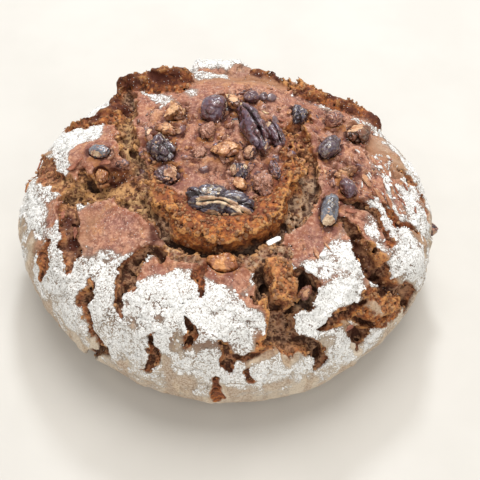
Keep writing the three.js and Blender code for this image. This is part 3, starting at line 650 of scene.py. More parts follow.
def flour_map(outer, veins):
    patchy = noise(map_points, 15.0, 26) + 0.7 * noise(map_points, 7.0, 27) + 0.4 * noise(map_points, 3.5, 28)
    flour = outer * (0.80 - 0.45 * ramp(walked_map, RIM - 4, FOOT - 10))
    flour = flour * (1 - 0.8 * ramp(patchy, 0.0, 0.45))
    drawn = columns(np.arctan2(map_v, map_u) * 14.0, walked_map / 26.0)
    streaks = noise(drawn, 1.0, 24) + 0.6 * noise(drawn * 2.1, 1.0, 25)
    streaked = 0.65 * ramp(streaks, 0.10, 0.50) * ramp(walked_map, 78.0, 98.0)
    flour = flour * (1 - streaked)
    for amount, *paths in FLOURED:
        thick = amount * ramp(strokes(paths), -4.0, 2.0) * (1 - streaked * (amount < 0.9))
        flour = np.maximum(flour, thick * (1 - 0.45 * ramp(patchy, 0.35, 0.8)))
    flour = flour * (1 - near_place("bare"))
    return np.maximum(flour, 0.95 * veins * ramp(noise(map_points, 6.0, 47), -0.2, 0.2))


def crust_maps():
    zero = np.zeros(map_u.shape, np.float32)
    found = tear_maps(zero)
    found.update({name: near_place(name) for name in PLACES})
    tear, veins = found["tear"], vein_map()
    outer = ramp(walked_map, 56.0, 66.0)
    fade = 1 - ramp(walked_map, RIM + 6, FOOT - 6)
    found["top"] = top_map(tear, found["nutty"], veins, outer, zero) * fade
    found["depth"] = found["depth"] * fade
    found["edge"] = ramp(tear, -4.5, -0.5)
    found["tear"] = np.where(walked_map > FOOT - 12, -9.0, tear)
    found["tone"] = np.clip(found["tone"], -0.6, 1.0)
    found["flour"] = flour_map(outer, veins)
    return {name: grid.astype(np.float32) for name, grid in found.items()}


maps = crust_maps()


def reader(u, v):
    """A function that reads maps at places on the crust: by name, one or several."""
    place = ((u + MAP_HALF) / MAP_STEP, (v + MAP_HALF) / MAP_STEP)
    return lambda *names: [sample(maps[name], *place) for name in names]


# ---- Where the walnut kernels sit ----
def read_vertices(mesh, field="co"):
    found = np.empty(len(mesh.vertices) * 3, np.float32)
    mesh.vertices.foreach_get(field, found)
    return found.reshape(-1, 3)


def node_axes(name):
    """Centre, long, short and outward axes (as rows) and half sizes of a kernel's CAD node."""
    points = read_vertices(frame["nodes"][name].data) / MM
    low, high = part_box(name)
    centre = np.array((low + high) / 2) / MM
    outward = np.array([centre[0] / 99 ** 2, centre[1] / 92 ** 2, max(centre[2] - 25.0, 2.0) / 58 ** 2])
    outward /= np.linalg.norm(outward)
    flat = points - centre
    flat = flat - np.outer(flat @ outward, outward)
    _, _, ways = np.linalg.svd(flat - flat.mean(0), full_matrices=False)
    along = unit(ways[0] - outward * (ways[0] @ outward))
    if along[0] < 0:
        along = -along
    axes = frame_of(along, outward)
    spread = (points - centre) @ axes.T
    return centre, axes, (spread.max(0) - spread.min(0)) / 2


# Of each kernel: centre, axes and half sizes.
SEATS = {name: node_axes(name) for name in KERNELS}


# ---- Carving the loaf ----
def loaf_field(points):
    """Field of the loaf at points, negative in the bread, and how crumby each is."""
    u, v, over = to_torn_crust(points)
    top, tear, depth, under, crumb, fill = reader(u, v)("top", "tear", "depth", "under", "crumb", "fill")
    calm, nutty, rims = reader(u, v)("calm", "nutty", "rims")
    below = top - over
    receding = under * np.clip(below / 4.5, 0.0, 1.0) ** 0.8
    plate = smooth_max(-below, tear + receding, 1.1)
    core = over - (np.minimum(top, 2.5 + 4.5 * fill) - depth)
    core = np.where(tear > -8.0, core, core + 2.0)
    crumby = np.maximum(crumb, ramp(below, 0.7, 2.2))
    crumby = np.maximum(crumby, ramp(tear, -0.4, 0.6))
    field = smooth_min(plate, core, 0.9)
    near = np.abs(field) < 4.0
    rough = np.zeros_like(field)
    spots = points[near]
    rough[near] = 1.2 * noise(spots, 5.4, 21) + 1.1 * noise(spots, 2.8, 22) + 0.6 * noise(spots, 1.6, 23)
    rough[near] += 1.5 * fill[near] * noise(spots, 1.5, 48)
    crumby = crumby * (1 - 0.45 * calm)
    rugged = np.maximum(crumby, 0.75 * nutty)
    field = field + rugged * rough * (1 + 0.6 * rims) * (0.6 + 0.4 * ramp(depth, 1.0, 4.0))
    return np.maximum(field, -points[:, 2]), crumby


def seat_kernels(points, values, crumby):
    """Dough climbs round each kernel to below its middle, and leaves a narrow dark gap against it."""
    for seed, (name, (centre, axes, half)) in enumerate(SEATS.items()):
        near = np.abs(points - centre).max(axis=1) < half[0] + 6.0
        spots = points[near]
        own = (spots - centre) @ axes.T
        bumps = 1.6 * noise(spots, 3.6, 30 + seed) + 0.9 * noise(spots, 1.8, 31 + seed)
        mound = (lengths(own / (half + 1.6)) - 1.0) * (half.mean() + 1.6)
        # The dough stops this share of the half height below the kernel's middle, and this far from its side.
        below, gap = (1.0, 0.8) if name in LYING else (0.58, 0.1)
        cut_off = own[:, 2] + below * half[2] + 1.3 * bumps
        mound = smooth_max(mound + 0.7 * bumps, cut_off, 1.5)
        kernel = (lengths(own / (half + gap)) - 1.0) * half.mean()
        values[near] = np.maximum(smooth_min(values[near], mound, 1.6), -kernel)
        crumby[near] = np.where(kernel < 0.5, 0.0, crumby[near])


def beside_kernels(where):
    """1 against a kernel, fading to 0 a few millimetres off."""
    beside = np.zeros(len(where))
    for centre, axes, half in SEATS.values():
        near = np.abs(where - centre).max(axis=1) < half[0] + 9.0
        gap = (lengths((where[near] - centre) @ axes.T / half) - 1.0) * half.mean()
        beside[near] = np.maximum(beside[near], 1 - ramp(gap, 0.5, 5.0))
    return beside


def blurred(grid, reach):
    """Mean over a box of the given reach in cells, along each axis in turn."""
    for axis in range(3):
        total = np.moveaxis(np.cumsum(grid, axis=axis, dtype=np.float32), axis, 0)
        count = len(total)
        high = np.minimum(np.arange(count) + reach, count - 1)
        low = np.arange(count) - reach - 1
        below = total[np.maximum(low, 0)] * (low >= 0).reshape(-1, 1, 1)
        grid = np.moveaxis((total[high] - below) / (2 * reach + 1), 0, axis)
    return grid


def carve_pores(field, points_of, crumby, inside_band):
    """Cuts round pores, larger ones rarer, where open crumb meets the air."""
    candidates = np.flatnonzero((np.abs(field[inside_band]) < VOXEL) & (crumby > 0.6))
    luck = rng.random(len(candidates))
    for chance, low, high in PORES:
        chosen = candidates[luck < chance * VOXEL ** 2]
        luck = rng.random(len(candidates))
        centres = points_of[chosen] + rng.normal(0, 0.5, (len(chosen), 3))
        radii = rng.uniform(low, high, len(chosen))
        reach = int(math.ceil(high / VOXEL)) + 1
        offsets = np.array(list(itertools.product(range(-reach, reach + 1), repeat=3)))
        home = np.round((centres - GRID_LOW) / VOXEL).astype(int)
        cell = np.clip(home[:, None, :] + offsets[None], 0, np.array(field.shape) - 1)
        carved = radii[:, None] - lengths(GRID_LOW + cell * VOXEL - centres[:, None, :])
        index = np.ravel_multi_index(cell.reshape(-1, 3).T, field.shape)
        np.maximum.at(field.reshape(-1), index, carved.reshape(-1).astype(np.float32))
    levels = GRID_LOW[2] + VOXEL * np.arange(max(int(round(-GRID_LOW[2] / VOXEL)), 0) + 2)
    field[:, :, :len(levels)] = np.maximum(field[:, :, :len(levels)], -levels)
    return field


def surface_net(field, low, step):
    """Vertices and quads of the zero surface: one vertex in each cell that it crosses."""
    inside = field < 0
    quads, points = [], []
    for axis in range(3):
        near = tuple(slice(None, -1) if k == axis else slice(None) for k in range(3))
        far = tuple(slice(1, None) if k == axis else slice(None) for k in range(3))
        crossing = inside[near] != inside[far]
        index = columns(*np.nonzero(crossing))
        first, second = field[near][crossing], field[far][crossing]
        point = low + index * step
        point[:, axis] += first / (first - second) * step
        side_a, side_b = [a for a in range(3) if a != axis]
        quad = []
        for da, db in ((0, 0), (-1, 0), (-1, -1), (0, -1)):
            cell = index.copy()
            cell[:, side_a] += da
            cell[:, side_b] += db
            cell = np.clip(cell, 0, np.array(field.shape) - 1)
            quad.append(np.ravel_multi_index(cell.T, field.shape))
        quad = columns(*quad)
        flip = inside[near][crossing] == (axis == 1)
        quad[flip] = quad[flip][:, ::-1]
        quads.append(quad)
        points.append(point)
    _, slot_of = np.unique(np.concatenate(quads).reshape(-1), return_inverse=True)
    slot_of = slot_of.reshape(-1)
    spread = np.repeat(np.concatenate(points), 4, axis=0)
    count = np.bincount(slot_of)
    return columns(*(np.bincount(slot_of, weights=part) / count for part in spread.T)), slot_of.reshape(-1, 4)


def carve_loaf():
    """The loaf's surface net, and for each reach the share of bread round every cell."""
    shape = tuple(np.ceil((GRID_HIGH - GRID_LOW) / VOXEL).astype(int) + 1)
    lines = [GRID_LOW[k] + VOXEL * np.arange(shape[k]) for k in range(3)]
    field = np.empty(shape, np.float32)
    band = np.zeros(shape, bool)
    y, z = np.meshgrid(lines[1], lines[2], indexing="ij")
    for i, x in enumerate(lines[0]):
        _, over = read_tables(x, y, z, table_offset)
        field[i] = np.where((over > 0) | (z < 0), 5.0, -5.0)
        band[i] = (over < BAND_OVER) & (over > -BAND_UNDER) & (z > -2 * VOXEL)
    points = GRID_LOW + columns(*np.nonzero(band)) * VOXEL
    values, crumby = loaf_field(points)
    seat_kernels(points, values, crumby)
    field[band] = values
    field = carve_pores(field, points, crumby, band)
    bread = (field < 0).astype(np.float32)
    shade = [blurred(bread, max(1, round(reach / VOXEL))) for reach in PIT_REACH]
    return surface_net(field, GRID_LOW, VOXEL), shade


# ---- Blender meshes ----
def placed(name, data):
    """A new object in the scene."""
    item = bpy.data.objects.new(name, data)
    bpy.context.scene.collection.objects.link(item)
    return item


def new_mesh(name, vertices, faces, smooth=True):
    mesh = bpy.data.meshes.new(name)
    faces = np.asarray(faces, np.int32)
    mesh.vertices.add(len(vertices))
    mesh.vertices.foreach_set("co", (np.asarray(vertices, np.float32) * MM).reshape(-1))
    mesh.loops.add(faces.size)
    mesh.loops.foreach_set("vertex_index", faces.reshape(-1))
    mesh.polygons.add(len(faces))
    mesh.polygons.foreach_set("loop_start", np.arange(0, faces.size, faces.shape[1], dtype=np.int32))
    mesh.polygons.foreach_set("use_smooth", np.full(len(faces), smooth))
    mesh.update(calc_edges=True)
    mesh.validate()
    return mesh


def new_piece(name, mesh, material, slot):
    piece = placed(name, mesh)
    mesh.materials.clear()
    mesh.materials.append(material)
    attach(piece, "root")
    return piece


def joined(name, parts, faces, smooth=True):
    """One mesh of many parts that have the same faces."""
    every = faces[None] + (np.arange(len(parts)) * len(parts[0]))[:, None, None]
    return new_mesh(name, np.concatenate(parts), every.reshape(-1, 3), smooth)


def add_attributes(mesh, **masks):
    for name, values in masks.items():
        layer = mesh.attributes.new(name, "FLOAT", "POINT")
        layer.data.foreach_set("value", np.broadcast_to(values, len(mesh.vertices)).astype(np.float32))


def largest_part(vertices, quads):
    """Drops the crumbs that carving left loose: keeps the largest connected part."""
    label = np.arange(len(vertices))
    while True:
        lowest = label[quads].min(axis=1)
        fresh = label.copy()
        for corner in quads.T:
            np.minimum.at(fresh, corner, lowest)
        fresh = fresh[fresh]
        if np.array_equal(fresh, label):
            break
        label = fresh
    keep = label == np.bincount(label).argmax()
    order = np.cumsum(keep) - 1
    return vertices[keep], order[quads[keep[quads[:, 0]]]]


def reduced(mesh, triangles):
    holder = placed("holder", mesh)
    modifier = holder.modifiers.new("fewer", "DECIMATE")
    modifier.ratio = min(1.0, triangles / sum(len(p.vertices) - 2 for p in mesh.polygons))
    modifier.use_collapse_triangulate = True
    evaluated = holder.evaluated_get(bpy.context.evaluated_depsgraph_get())
    made = bpy.data.meshes.new_from_object(evaluated)
    bpy.data.objects.remove(holder)
    return made


# ---- Materials ----
class Wire:
    """An output of a node. Sums, differences and products of wires add Math nodes."""

    def __init__(self, graph, socket):
        self.graph = graph
        self.socket = socket

    def math(self, operation, other, clamp=False):
        return self.graph.node("ShaderNodeMath", {0: self, 1: other}, 0, operation=operation, use_clamp=clamp)

    def __add__(self, other):
        return self.math("ADD", other)

    def __sub__(self, other):
        return self.math("SUBTRACT", other)

    def __mul__(self, other):
        return self.math("MULTIPLY", other)

    def step(self, low, high, to_low=0.0, to_high=1.0):
        ends = {"Value": self, "From Min": low, "From Max": high, "To Min": to_low, "To Max": to_high}
        return self.graph.node("ShaderNodeMapRange", ends, "Result", interpolation_type="SMOOTHSTEP")


class Graph:
    """Short calls for building one node material. graph[name] is an attribute of the mesh."""

    def __init__(self, name, roughness):
        self.material = bpy.data.materials.new(name)
        self.material.use_nodes = True
        self.tree = self.material.node_tree
        self.shader = self.tree.nodes["Principled BSDF"]
        self.shader.inputs["Roughness"].default_value = roughness
        self.place = self.node("ShaderNodeTexCoord", {}, "Object")

    def node(self, kind, inputs, output, **settings):
        """Adds a node, and returns the wire of one of its outputs."""
        made = self.tree.nodes.new(kind)
        for key, value in settings.items():
            setattr(made, key, value)
        for key, value in inputs.items():
            self.put(made.inputs[key], value)
        return Wire(self, made.outputs[output])

    def put(self, socket, value):
        if isinstance(value, Wire):
            self.tree.links.new(value.socket, socket)
        else:
            socket.default_value = (*value, 1.0) if socket.type == "RGBA" else value

    def __getitem__(self, name):
        return self.node("ShaderNodeAttribute", {}, "Fac", attribute_name=name)

    def noise(self, size_mm, detail=3.0, roughness=0.55):
        return self.node("ShaderNodeTexNoise", {
            "Vector": self.place, "Scale": 1.0 / (size_mm * MM), "Detail": detail, "Roughness": roughness,
        }, "Fac")

    def cracks(self, place, scale, far, near):
        """Lines between cells: 0 past the far edge of a line, 1 within the near one."""
        gap = self.node(
            "ShaderNodeTexVoronoi", {"Vector": place, "Scale": scale}, "Distance", feature="DISTANCE_TO_EDGE",
        )
        return gap.step(far, near)

    def mix(self, share, a, b):
        return self.node("ShaderNodeMix", {0: share, 6: a, 7: b}, 2, data_type="RGBA")

    def paint(self, colour, *coats):
        """Lays coats over a colour: each is how much it covers, and its own colour."""
        for share, coat in coats:
            colour = self.mix(share, colour, coat)
        return colour

    def bump(self, height, distance_mm, strength):
        ends = {"Height": height, "Distance": distance_mm * MM, "Strength": strength}
        return self.node("ShaderNodeBump", ends, "Normal")

    def finish(self, colour, normal=None, roughness=None):
        for name, value in (("Base Color", colour), ("Roughness", roughness), ("Normal", normal)):
            if value is not None:
                self.put(self.shader.inputs[name], value)
        return self.material


def darker(colour, share):
    return tuple(share * part for part in colour)


def loaf_material():
    g = Graph("bread", 0.85)
    g.shader.inputs["Specular IOR Level"].default_value = 0.22
    large, middle, small, grain = g.noise(22, 3), g.noise(6, 4), g.noise(2, 4), g.noise(0.85, 2)
    # How sunken each point is: painted shade in dips, and a painted highlight on bumps.
    pit_shade = g["pit_shade_and_crest_light"].step(0.10, 0.60)
    crest_light = g["pit_shade_and_crest_light"].step(-0.10, -0.50)
    beside = g["beside"]
    # Crust: reddish mauve-brown, mottled, darker at torn edges, with tiny pale and dark specks, painted shade
    # in dips, a painted highlight on bumps, and painted shade against the kernels.
    crust = g.paint(
        g.mix(large.step(0.35, 0.65), (0.378, 0.162, 0.1), (0.488, 0.236, 0.15)),
        (g.noise(9, 3).step(0.50, 0.60, 0, 0.65), (0.25, 0.108, 0.092)),
        (g.noise(7, 3).step(0.54, 0.63, 0, 0.7), (0.5, 0.24, 0.108)),
        (middle.step(0.45, 0.66, 0, 0.65), (0.28, 0.128, 0.1)),
        (small.step(0.50, 0.62, 0, 0.55), (0.19, 0.072, 0.048)),
        (small.step(0.46, 0.36, 0, 0.45), (0.56, 0.31, 0.2)),
        # Painted highlight on bumps, and painted shade in dips.
        (crest_light * 0.5, (0.62, 0.36, 0.24)),
        (pit_shade * 0.92, (0.105, 0.034, 0.023)),
        (grain.step(0.56, 0.70, 0, 0.55), (0.7, 0.46, 0.34)),
        (grain.step(0.44, 0.30, 0, 0.60), (0.2, 0.075, 0.052)),
        (g["edge"] * small.step(0.38, 0.58) * 0.75, (0.25, 0.075, 0.035)),
        (g["golden"] * 0.75, (0.335, 0.17, 0.09)),
        # Darker near each kernel and near-black right against it: painted shade where the crust meets a
        # kernel.
        (beside * middle.step(0.42, 0.54) * 0.85, (0.17, 0.052, 0.038)),
        (beside.step(0.80, 0.98) * small.step(0.36, 0.50) * 0.85, (0.06, 0.02, 0.015)),
        (beside * g.noise(5, 3).step(0.52, 0.60) * 0.75, (0.4, 0.165, 0.055)),
    )
    # Lower crust: tan, less baked.
    tan = g.paint(
        g.mix(middle.step(0.35, 0.65), (0.38, 0.235, 0.13), (0.54, 0.385, 0.24)),
        (g.noise(13, 4, 0.6).step(0.46, 0.62, 0, 0.75), (0.3, 0.165, 0.092)),
        (g.noise(30, 2).step(0.50, 0.66, 0, 0.6), (0.6, 0.5, 0.38)),
        (g["streak"].step(0.50, 0.66, 0, 0.75), (0.29, 0.165, 0.095)),
        (g["streak"].step(0.46, 0.32, 0, 0.6), (0.64, 0.55, 0.43)),
        (grain.step(0.44, 0.34, 0, 0.45), (0.16, 0.105, 0.075)),
    )
    # Crumb: orange-brown where it browned, grey-tan deeper, with dark pores and golden crests: painted shade
    # in pits, pores, deep recesses and against the kernels, and a painted highlight on crests.
    orange = g.mix(small.step(0.35, 0.65), (0.49, 0.168, 0.042), (0.232, 0.06, 0.02))
    orange = g.mix(g["fill"] * 0.42, orange, (0.56, 0.255, 0.115))
    grey = g.mix(small.step(0.35, 0.65), (0.5, 0.35, 0.232), (0.345, 0.22, 0.14))
    # Dark dots at the cells' centres: painted shade of small pores.
    cell = g.node("ShaderNodeTexVoronoi", {"Vector": g.place, "Scale": 1 / (1.9 * MM)}, "Distance")
    pore_shade = (cell + g.noise(1.2, 2) * 0.7).step(0.66, 0.52) * middle.step(0.32, 0.50)
    crumb = g.paint(
        g.mix(g["tone"], grey, orange),
        (g["sallow"] * 0.6, (0.52, 0.31, 0.125)),
        (middle.step(0.56, 0.70, 0, 0.6), (0.2, 0.062, 0.03)),
        (g["under"] * g.noise(4, 3).step(0.38, 0.60) * 0.8, (0.23, 0.068, 0.028)),
        (g.noise(3.2, 4, 0.6).step(0.53, 0.62, 0, 0.82), (0.125, 0.036, 0.02)),
        # Painted highlight on crests, and painted shade in pits.
        (crest_light * 0.5, (0.66, 0.345, 0.115)),
        (pit_shade * 0.9, (0.05, 0.016, 0.009)),
        (grain.step(0.58, 0.74, 0, 0.40), (0.66, 0.39, 0.15)),
        # Painted shade of small pores.
        (pore_shade * 0.85, (0.09, 0.028, 0.014)),
        # Darker near each kernel: painted shade where the crumb meets a kernel.
        (beside * middle.step(0.40, 0.52) * 0.75, (0.185, 0.05, 0.028)),
        # Painted shade in deep recesses, under the cap's lip and in deep holes.
        (g["deep"] * 0.8, (0.024, 0.011, 0.008)),
    )
    # Flour: white, broken by dark specks and hairline cracks, thinner where the mask is low, and thinner in
    # dips as painted shade.
    flour = g["flour"]
    swirl = g.node("ShaderNodeTexNoise", {"Vector": g.place, "Scale": 250, "Detail": 2}, "Color")
    shift = {0: swirl, 1: (0.0035, 0.0035, 0.0035), 2: g.place}
    wavy = g.node("ShaderNodeVectorMath", shift, 0, operation="MULTIPLY_ADD")
    crack = g.cracks(wavy, 150, 0.040, 0.012) * middle.step(0.53, 0.60)
    hair = g.cracks(wavy, 310, 0.045, 0.012) * middle.step(0.60, 0.44, 0, 0.65)
    broken = grain * 0.4 + g.noise(0.5, 1) * 0.25 + small * 0.2 + middle * 0.15
    # Thinner in dips: painted shade.
    cover = (flour - (broken - 0.43) * 3.0 - crack * 0.7 - pit_shade * 0.5).step(0.42, 0.66)
    speck = g.noise(0.8, 2).step(0.53, 0.62) * middle.step(0.36, 0.58, 0.35, 0.85)
    white = g.paint(
        g.mix(grain.step(0.35, 0.7), (0.92, 0.915, 0.895), (0.78, 0.77, 0.745)),
        (speck, (0.34, 0.31, 0.28)),
        (hair, (0.28, 0.235, 0.2)),
    )
    colour = g.paint(
        g.mix(g["flank"], crust, tan),
        (g["crumb"], crumb),
        (g["char"] * middle.step(0.38, 0.56, 0.42, 0.95), (0.066, 0.015, 0.008)),
        (flour.step(0.25, 0.7, 0, 0.75), (0.22, 0.175, 0.145)),
        (g["dust"] * grain.step(0.40, 0.62, 0.35, 1), (0.77, 0.685, 0.565)),
        (cover, white),
    )
    height = grain * 0.6 + small * 0.8 + cover * 0.15 - crack * 0.6
    return g.finish(colour, g.bump(height, 0.5, 0.9), cover.step(0, 1, 0.72, 0.95))


def walnut_material(name, warm, cold_skin_and_reflection, flesh, flesh_dark, gloss):
    """Skin from warm brown to cold blue-grey, the blue-grey partly a painted reflection of the sky; paler
    ridges, partly wear and partly a painted highlight; painted shade in creases; bare flesh at broken faces,
    amber oil, and a coat of dough.
    """
    g = Graph(name, gloss)
    middle, small, fine = g.noise(3.4, 4), g.noise(1.3, 3), g.noise(0.55, 2)
    plum = g.mix(middle.step(0.42, 0.58), (0.195, 0.068, 0.06), (0.12, 0.07, 0.1))
    # Paler ridges: worn flesh on most kernels, a painted blue-grey highlight on the plum ones.
    ridge_wear_and_highlight = g.mix(g["plum"], darker(flesh, 0.35), (0.215, 0.2, 0.255))
    skin = g.paint(
        # From warm skin to cold blue-grey: partly skin colour, partly a painted reflection of the sky.
        g.mix((g["cool"] + (middle - 0.5)).step(0.25, 0.75), warm, cold_skin_and_reflection),
        # The bluest kernels: a lighter painted reflection of the sky.
        (g["cool"].step(0.95, 1.15), (0.15, 0.155, 0.185)),
        (g["plum"], plum),
        (middle.step(0.50, 0.40, 0, 0.70), darker(warm, 0.28)),
        # Paler ridges: wear, and on plum kernels a painted highlight.
        (g["ridge"].step(0.2, 1, 0, 0.75), ridge_wear_and_highlight),
        (small.step(0.57, 0.66) * g["plum"].step(0, 1, 0.6, 0), darker(flesh, 0.5)),
        # Painted shade in the creases.
        (g["hollow"].step(0.12, 0.70, 0, 0.9), darker(warm, 0.20)),
    )
    inner = g.paint(
        g.mix(middle.step(0.40, 0.62), flesh, flesh_dark),
        (fine.step(0.58, 0.70, 0, 0.45), darker(flesh_dark, 0.35)),
        (g["slit"].step(0.3, 0.8), darker(flesh_dark, 0.10)),
    )
    worn = (g["flesh"] + (small - 0.5) * 1.3).step(0.42, 0.58)
    coat = (g["coat"] + (small - 0.5) * 1.8).step(0.50, 0.66)
    amber = g.mix(middle.step(0.40, 0.60), (0.6, 0.25, 0.07), (0.28, 0.085, 0.03))
    dough = g.mix(fine.step(0.35, 0.65), (0.21, 0.08, 0.048), (0.48, 0.235, 0.15))
    colour = g.paint(skin, (worn, inner), (g["amber"] * small.step(0.35, 0.55, 0.6, 1), amber), (coat, dough))
    rough = worn.math("MAXIMUM", coat).step(0, 1, gloss, 0.60).math("ADD", (small - 0.50) * 0.25, clamp=True)
    g.shader.inputs["Coat Weight"].default_value = 0.5
    g.shader.inputs["Coat Roughness"].default_value = 0.15
    return g.finish(colour, g.bump(middle + small * 0.5, 0.9, 0.6), rough)


def speck_material(name, light, dark, roughness):
    g = Graph(name, roughness)
    colour = g.mix(g.noise(3.5, 3).step(0.35, 0.65), light, dark)
    return g.finish(colour, g.bump(g.noise(0.4, 2), 0.1, 0.5))


def flake_material(name, light, dark, speck):
    g = Graph(name, 0.6)
    colour = g.mix(g.noise(3, 3).step(0.38, 0.62), light, dark)
    colour = g.mix(g.noise(0.8, 2).step(0.56, 0.70, 0, 0.75), colour, speck)
    return g.finish(colour, g.bump(g.noise(1.2, 3), 0.3, 0.8))


# ---- The loaf ----
def sunken(grid, where, facing):
    """How sunken the surface is at points, from the share of bread round each: 0 where it's flat."""
    index = (where + 0.3 * facing - GRID_LOW) / VOXEL
    index = np.clip(np.round(index).astype(int), 0, np.array(grid.shape) - 1)
    return 2.0 * grid[tuple(index.T)] - 0.8


def streaks_of(where):
    """Noise from 0 to 1, drawn out down the flank."""
    drawn = columns(np.arctan2(where[:, 1], where[:, 0]) * 24.0, where[:, 2] / 16.0)
    return 0.5 + 0.5 * (0.65 * noise(drawn, 1.0, 44) + 0.35 * noise(drawn * 2.3, 1.0, 45))


def split_loaf(mesh, torn):
    """Two meshes out of one: the crust, and the torn crumb."""
    corners = np.empty(len(mesh.loops), np.int32)
    mesh.loops.foreach_get("vertex_index", corners)
    faces = corners.reshape(-1, 3)
    torn = torn[faces].mean(axis=1) > 0.5
    where = read_vertices(mesh) / MM
    facing = read_vertices(mesh, "normal")
    for name, chosen in (("loaf_crust", faces[~torn]), ("loaf_crumb", faces[torn])):
        used, slot_of = np.unique(chosen.reshape(-1), return_inverse=True)
        part = new_mesh(name, where[used], slot_of.reshape(-1, 3))
        part.normals_split_custom_set_from_vertices(facing[used])
        yield part, used


def make_loaf():
    """Builds the loaf's two pieces, and returns what loose things need to know of its surface."""
    net, shade = carve_loaf()
    mesh = reduced(new_mesh("loaf_skin", *largest_part(*net)), LOAF_TRIANGLES)
    where = read_vertices(mesh) / MM
    facing = read_vertices(mesh, "normal")
    u, v, over = to_torn_crust(where)
    read = reader(u, v)
    top, tear, raised, tone, fill, edge = read("top", "tear", "crumb", "tone", "fill", "edge")
    golden, sallow, gloom, charred, singed = read("golden", "sallow", "gloom", "charred", "singed")
    below = top - over
    crumb = np.maximum(raised, ramp(below, 0.9, 1.8))
    crumb = np.maximum(crumb, ramp(tear, -0.5, 0.3))
    on_base = (where[:, 2] < 1.0) & (facing[:, 2] < -0.5)
    crumb = np.where(on_base, 0.0, crumb)
    flour = read("flour")[0] * (1 - ramp(crumb, 0.2, 0.7)) * ramp(facing[:, 2], -0.75, 0.05)
    hollow = sunken(shade[1], where, facing)
    walked = np.hypot(u, v)
    height_share = over / np.maximum(top, 2.0) + 0.45 * noise(where, 5.0, 42)
    # Deep, enclosed places, for painted shade.
    cave_shade = ramp(below, 8.0, 16.0) * ramp(hollow, 0.0, 0.5)
    masks = {
        "flour": np.where(on_base, 0.12, flour),
        "dust": ramp(walked, 92.0, 112.0) * (1 - crumb) * 0.6,
        "flank": ramp(walked + 9.0 * noise(where, 14.0, 41), 72.0, 104.0),
        "crumb": crumb,
        "tone": np.clip(tone + 0.45 * (1 - ramp(below, 0.8, 4.5)), 0.0, 1.0),
        "char": np.maximum(charred, singed * ramp(height_share, 0.70, 1.02)),
        "beside": beside_kernels(where),
        "golden": golden,
        "fill": fill,
        "sallow": sallow,
        "streak": streaks_of(where),
        "under": (1 - ramp(below, 1.5, 4.5)) * (1 - fill),
        "edge": edge * (1 - crumb),
        # Painted shade in deep recesses, under the cap's lip and in deep holes.
        "deep": np.maximum(cave_shade, gloom * ramp(below, 3.0, 7.0)),
        # How sunken each point is, for painted shade in dips and a painted highlight on bumps.
        "pit_shade_and_crest_light": sunken(shade[0], where, facing) + 0.5 * hollow,
    }
    material = loaf_material()
    for part, used in split_loaf(mesh, crumb):
        add_attributes(part, **{name: mask[used] for name, mask in masks.items()})
        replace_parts(new_piece(part.name, part, material, "crust"), "loaf")
    crumb = crumb * (1 - masks["char"])
    return {
        "where": where, "facing": facing, "crumb": crumb, "flour": flour, "u": u, "v": v, "hollow": hollow,
    }


loaf = make_loaf()


# ---- Walnut kernels ----
def ball(levels):
    """Vertices on a unit ball and their triangles, from an icosahedron split several times."""
    golden = (1 + 5 ** 0.5) / 2
    corners = []
    for a, b in ((1, golden), (-1, golden), (1, -golden), (-1, -golden)):
        corners += [(0, a, b), (a, b, 0), (b, 0, a)]
    points = np.array(corners, float)
    points /= np.linalg.norm(points[0])
    edge = lengths(points[:, None] - points[None])
    shortest = edge[edge > 0].min() * 1.01
    faces = []
    for i, j, k in itertools.combinations(range(len(points)), 3):
        if max(edge[i, j], edge[j, k], edge[i, k]) < shortest:
            faces.append((i, j, k) if np.linalg.det(points[[i, j, k]]) > 0 else (i, k, j))
    faces = np.array(faces)
    for _ in range(levels):
        pairs = np.concatenate([faces[:, [0, 1]], faces[:, [1, 2]], faces[:, [2, 0]]])
        unique, slot_of = np.unique(np.sort(pairs, axis=1), axis=0, return_inverse=True)
        middle = points[unique].mean(axis=1)
        middle /= np.linalg.norm(middle, axis=1, keepdims=True)
        ab, bc, ca = np.split(slot_of.reshape(-1) + len(points), 3)
        a, b, c = faces.T
        points = np.concatenate([points, middle])
        quarters = (a, ab, ca), (ab, b, bc), (ca, bc, c), (ab, bc, ca)
        faces = np.concatenate([columns(*quarter) for quarter in quarters])
    return points, faces


BALLS = {levels: ball(levels) for levels in (1, 2, 4, 5)}
OCTAHEDRON = (
    np.array([(1, 0, 0), (-1, 0, 0), (0, 1, 0), (0, -1, 0), (0, 0, 1), (0, 0, -1)], float),
    np.array([(0, 2, 4), (2, 1, 4), (1, 3, 4), (3, 0, 4), (2, 0, 5), (1, 2, 5), (3, 1, 5), (0, 3, 5)]),
)


def cut_back(points, radius, way, limit, least):
    """The radii that a flat cut leaves, where the way's share of a radius passes the limit."""
    reach = points @ way
    return np.where(reach * radius > limit, limit / np.maximum(reach, least), radius)


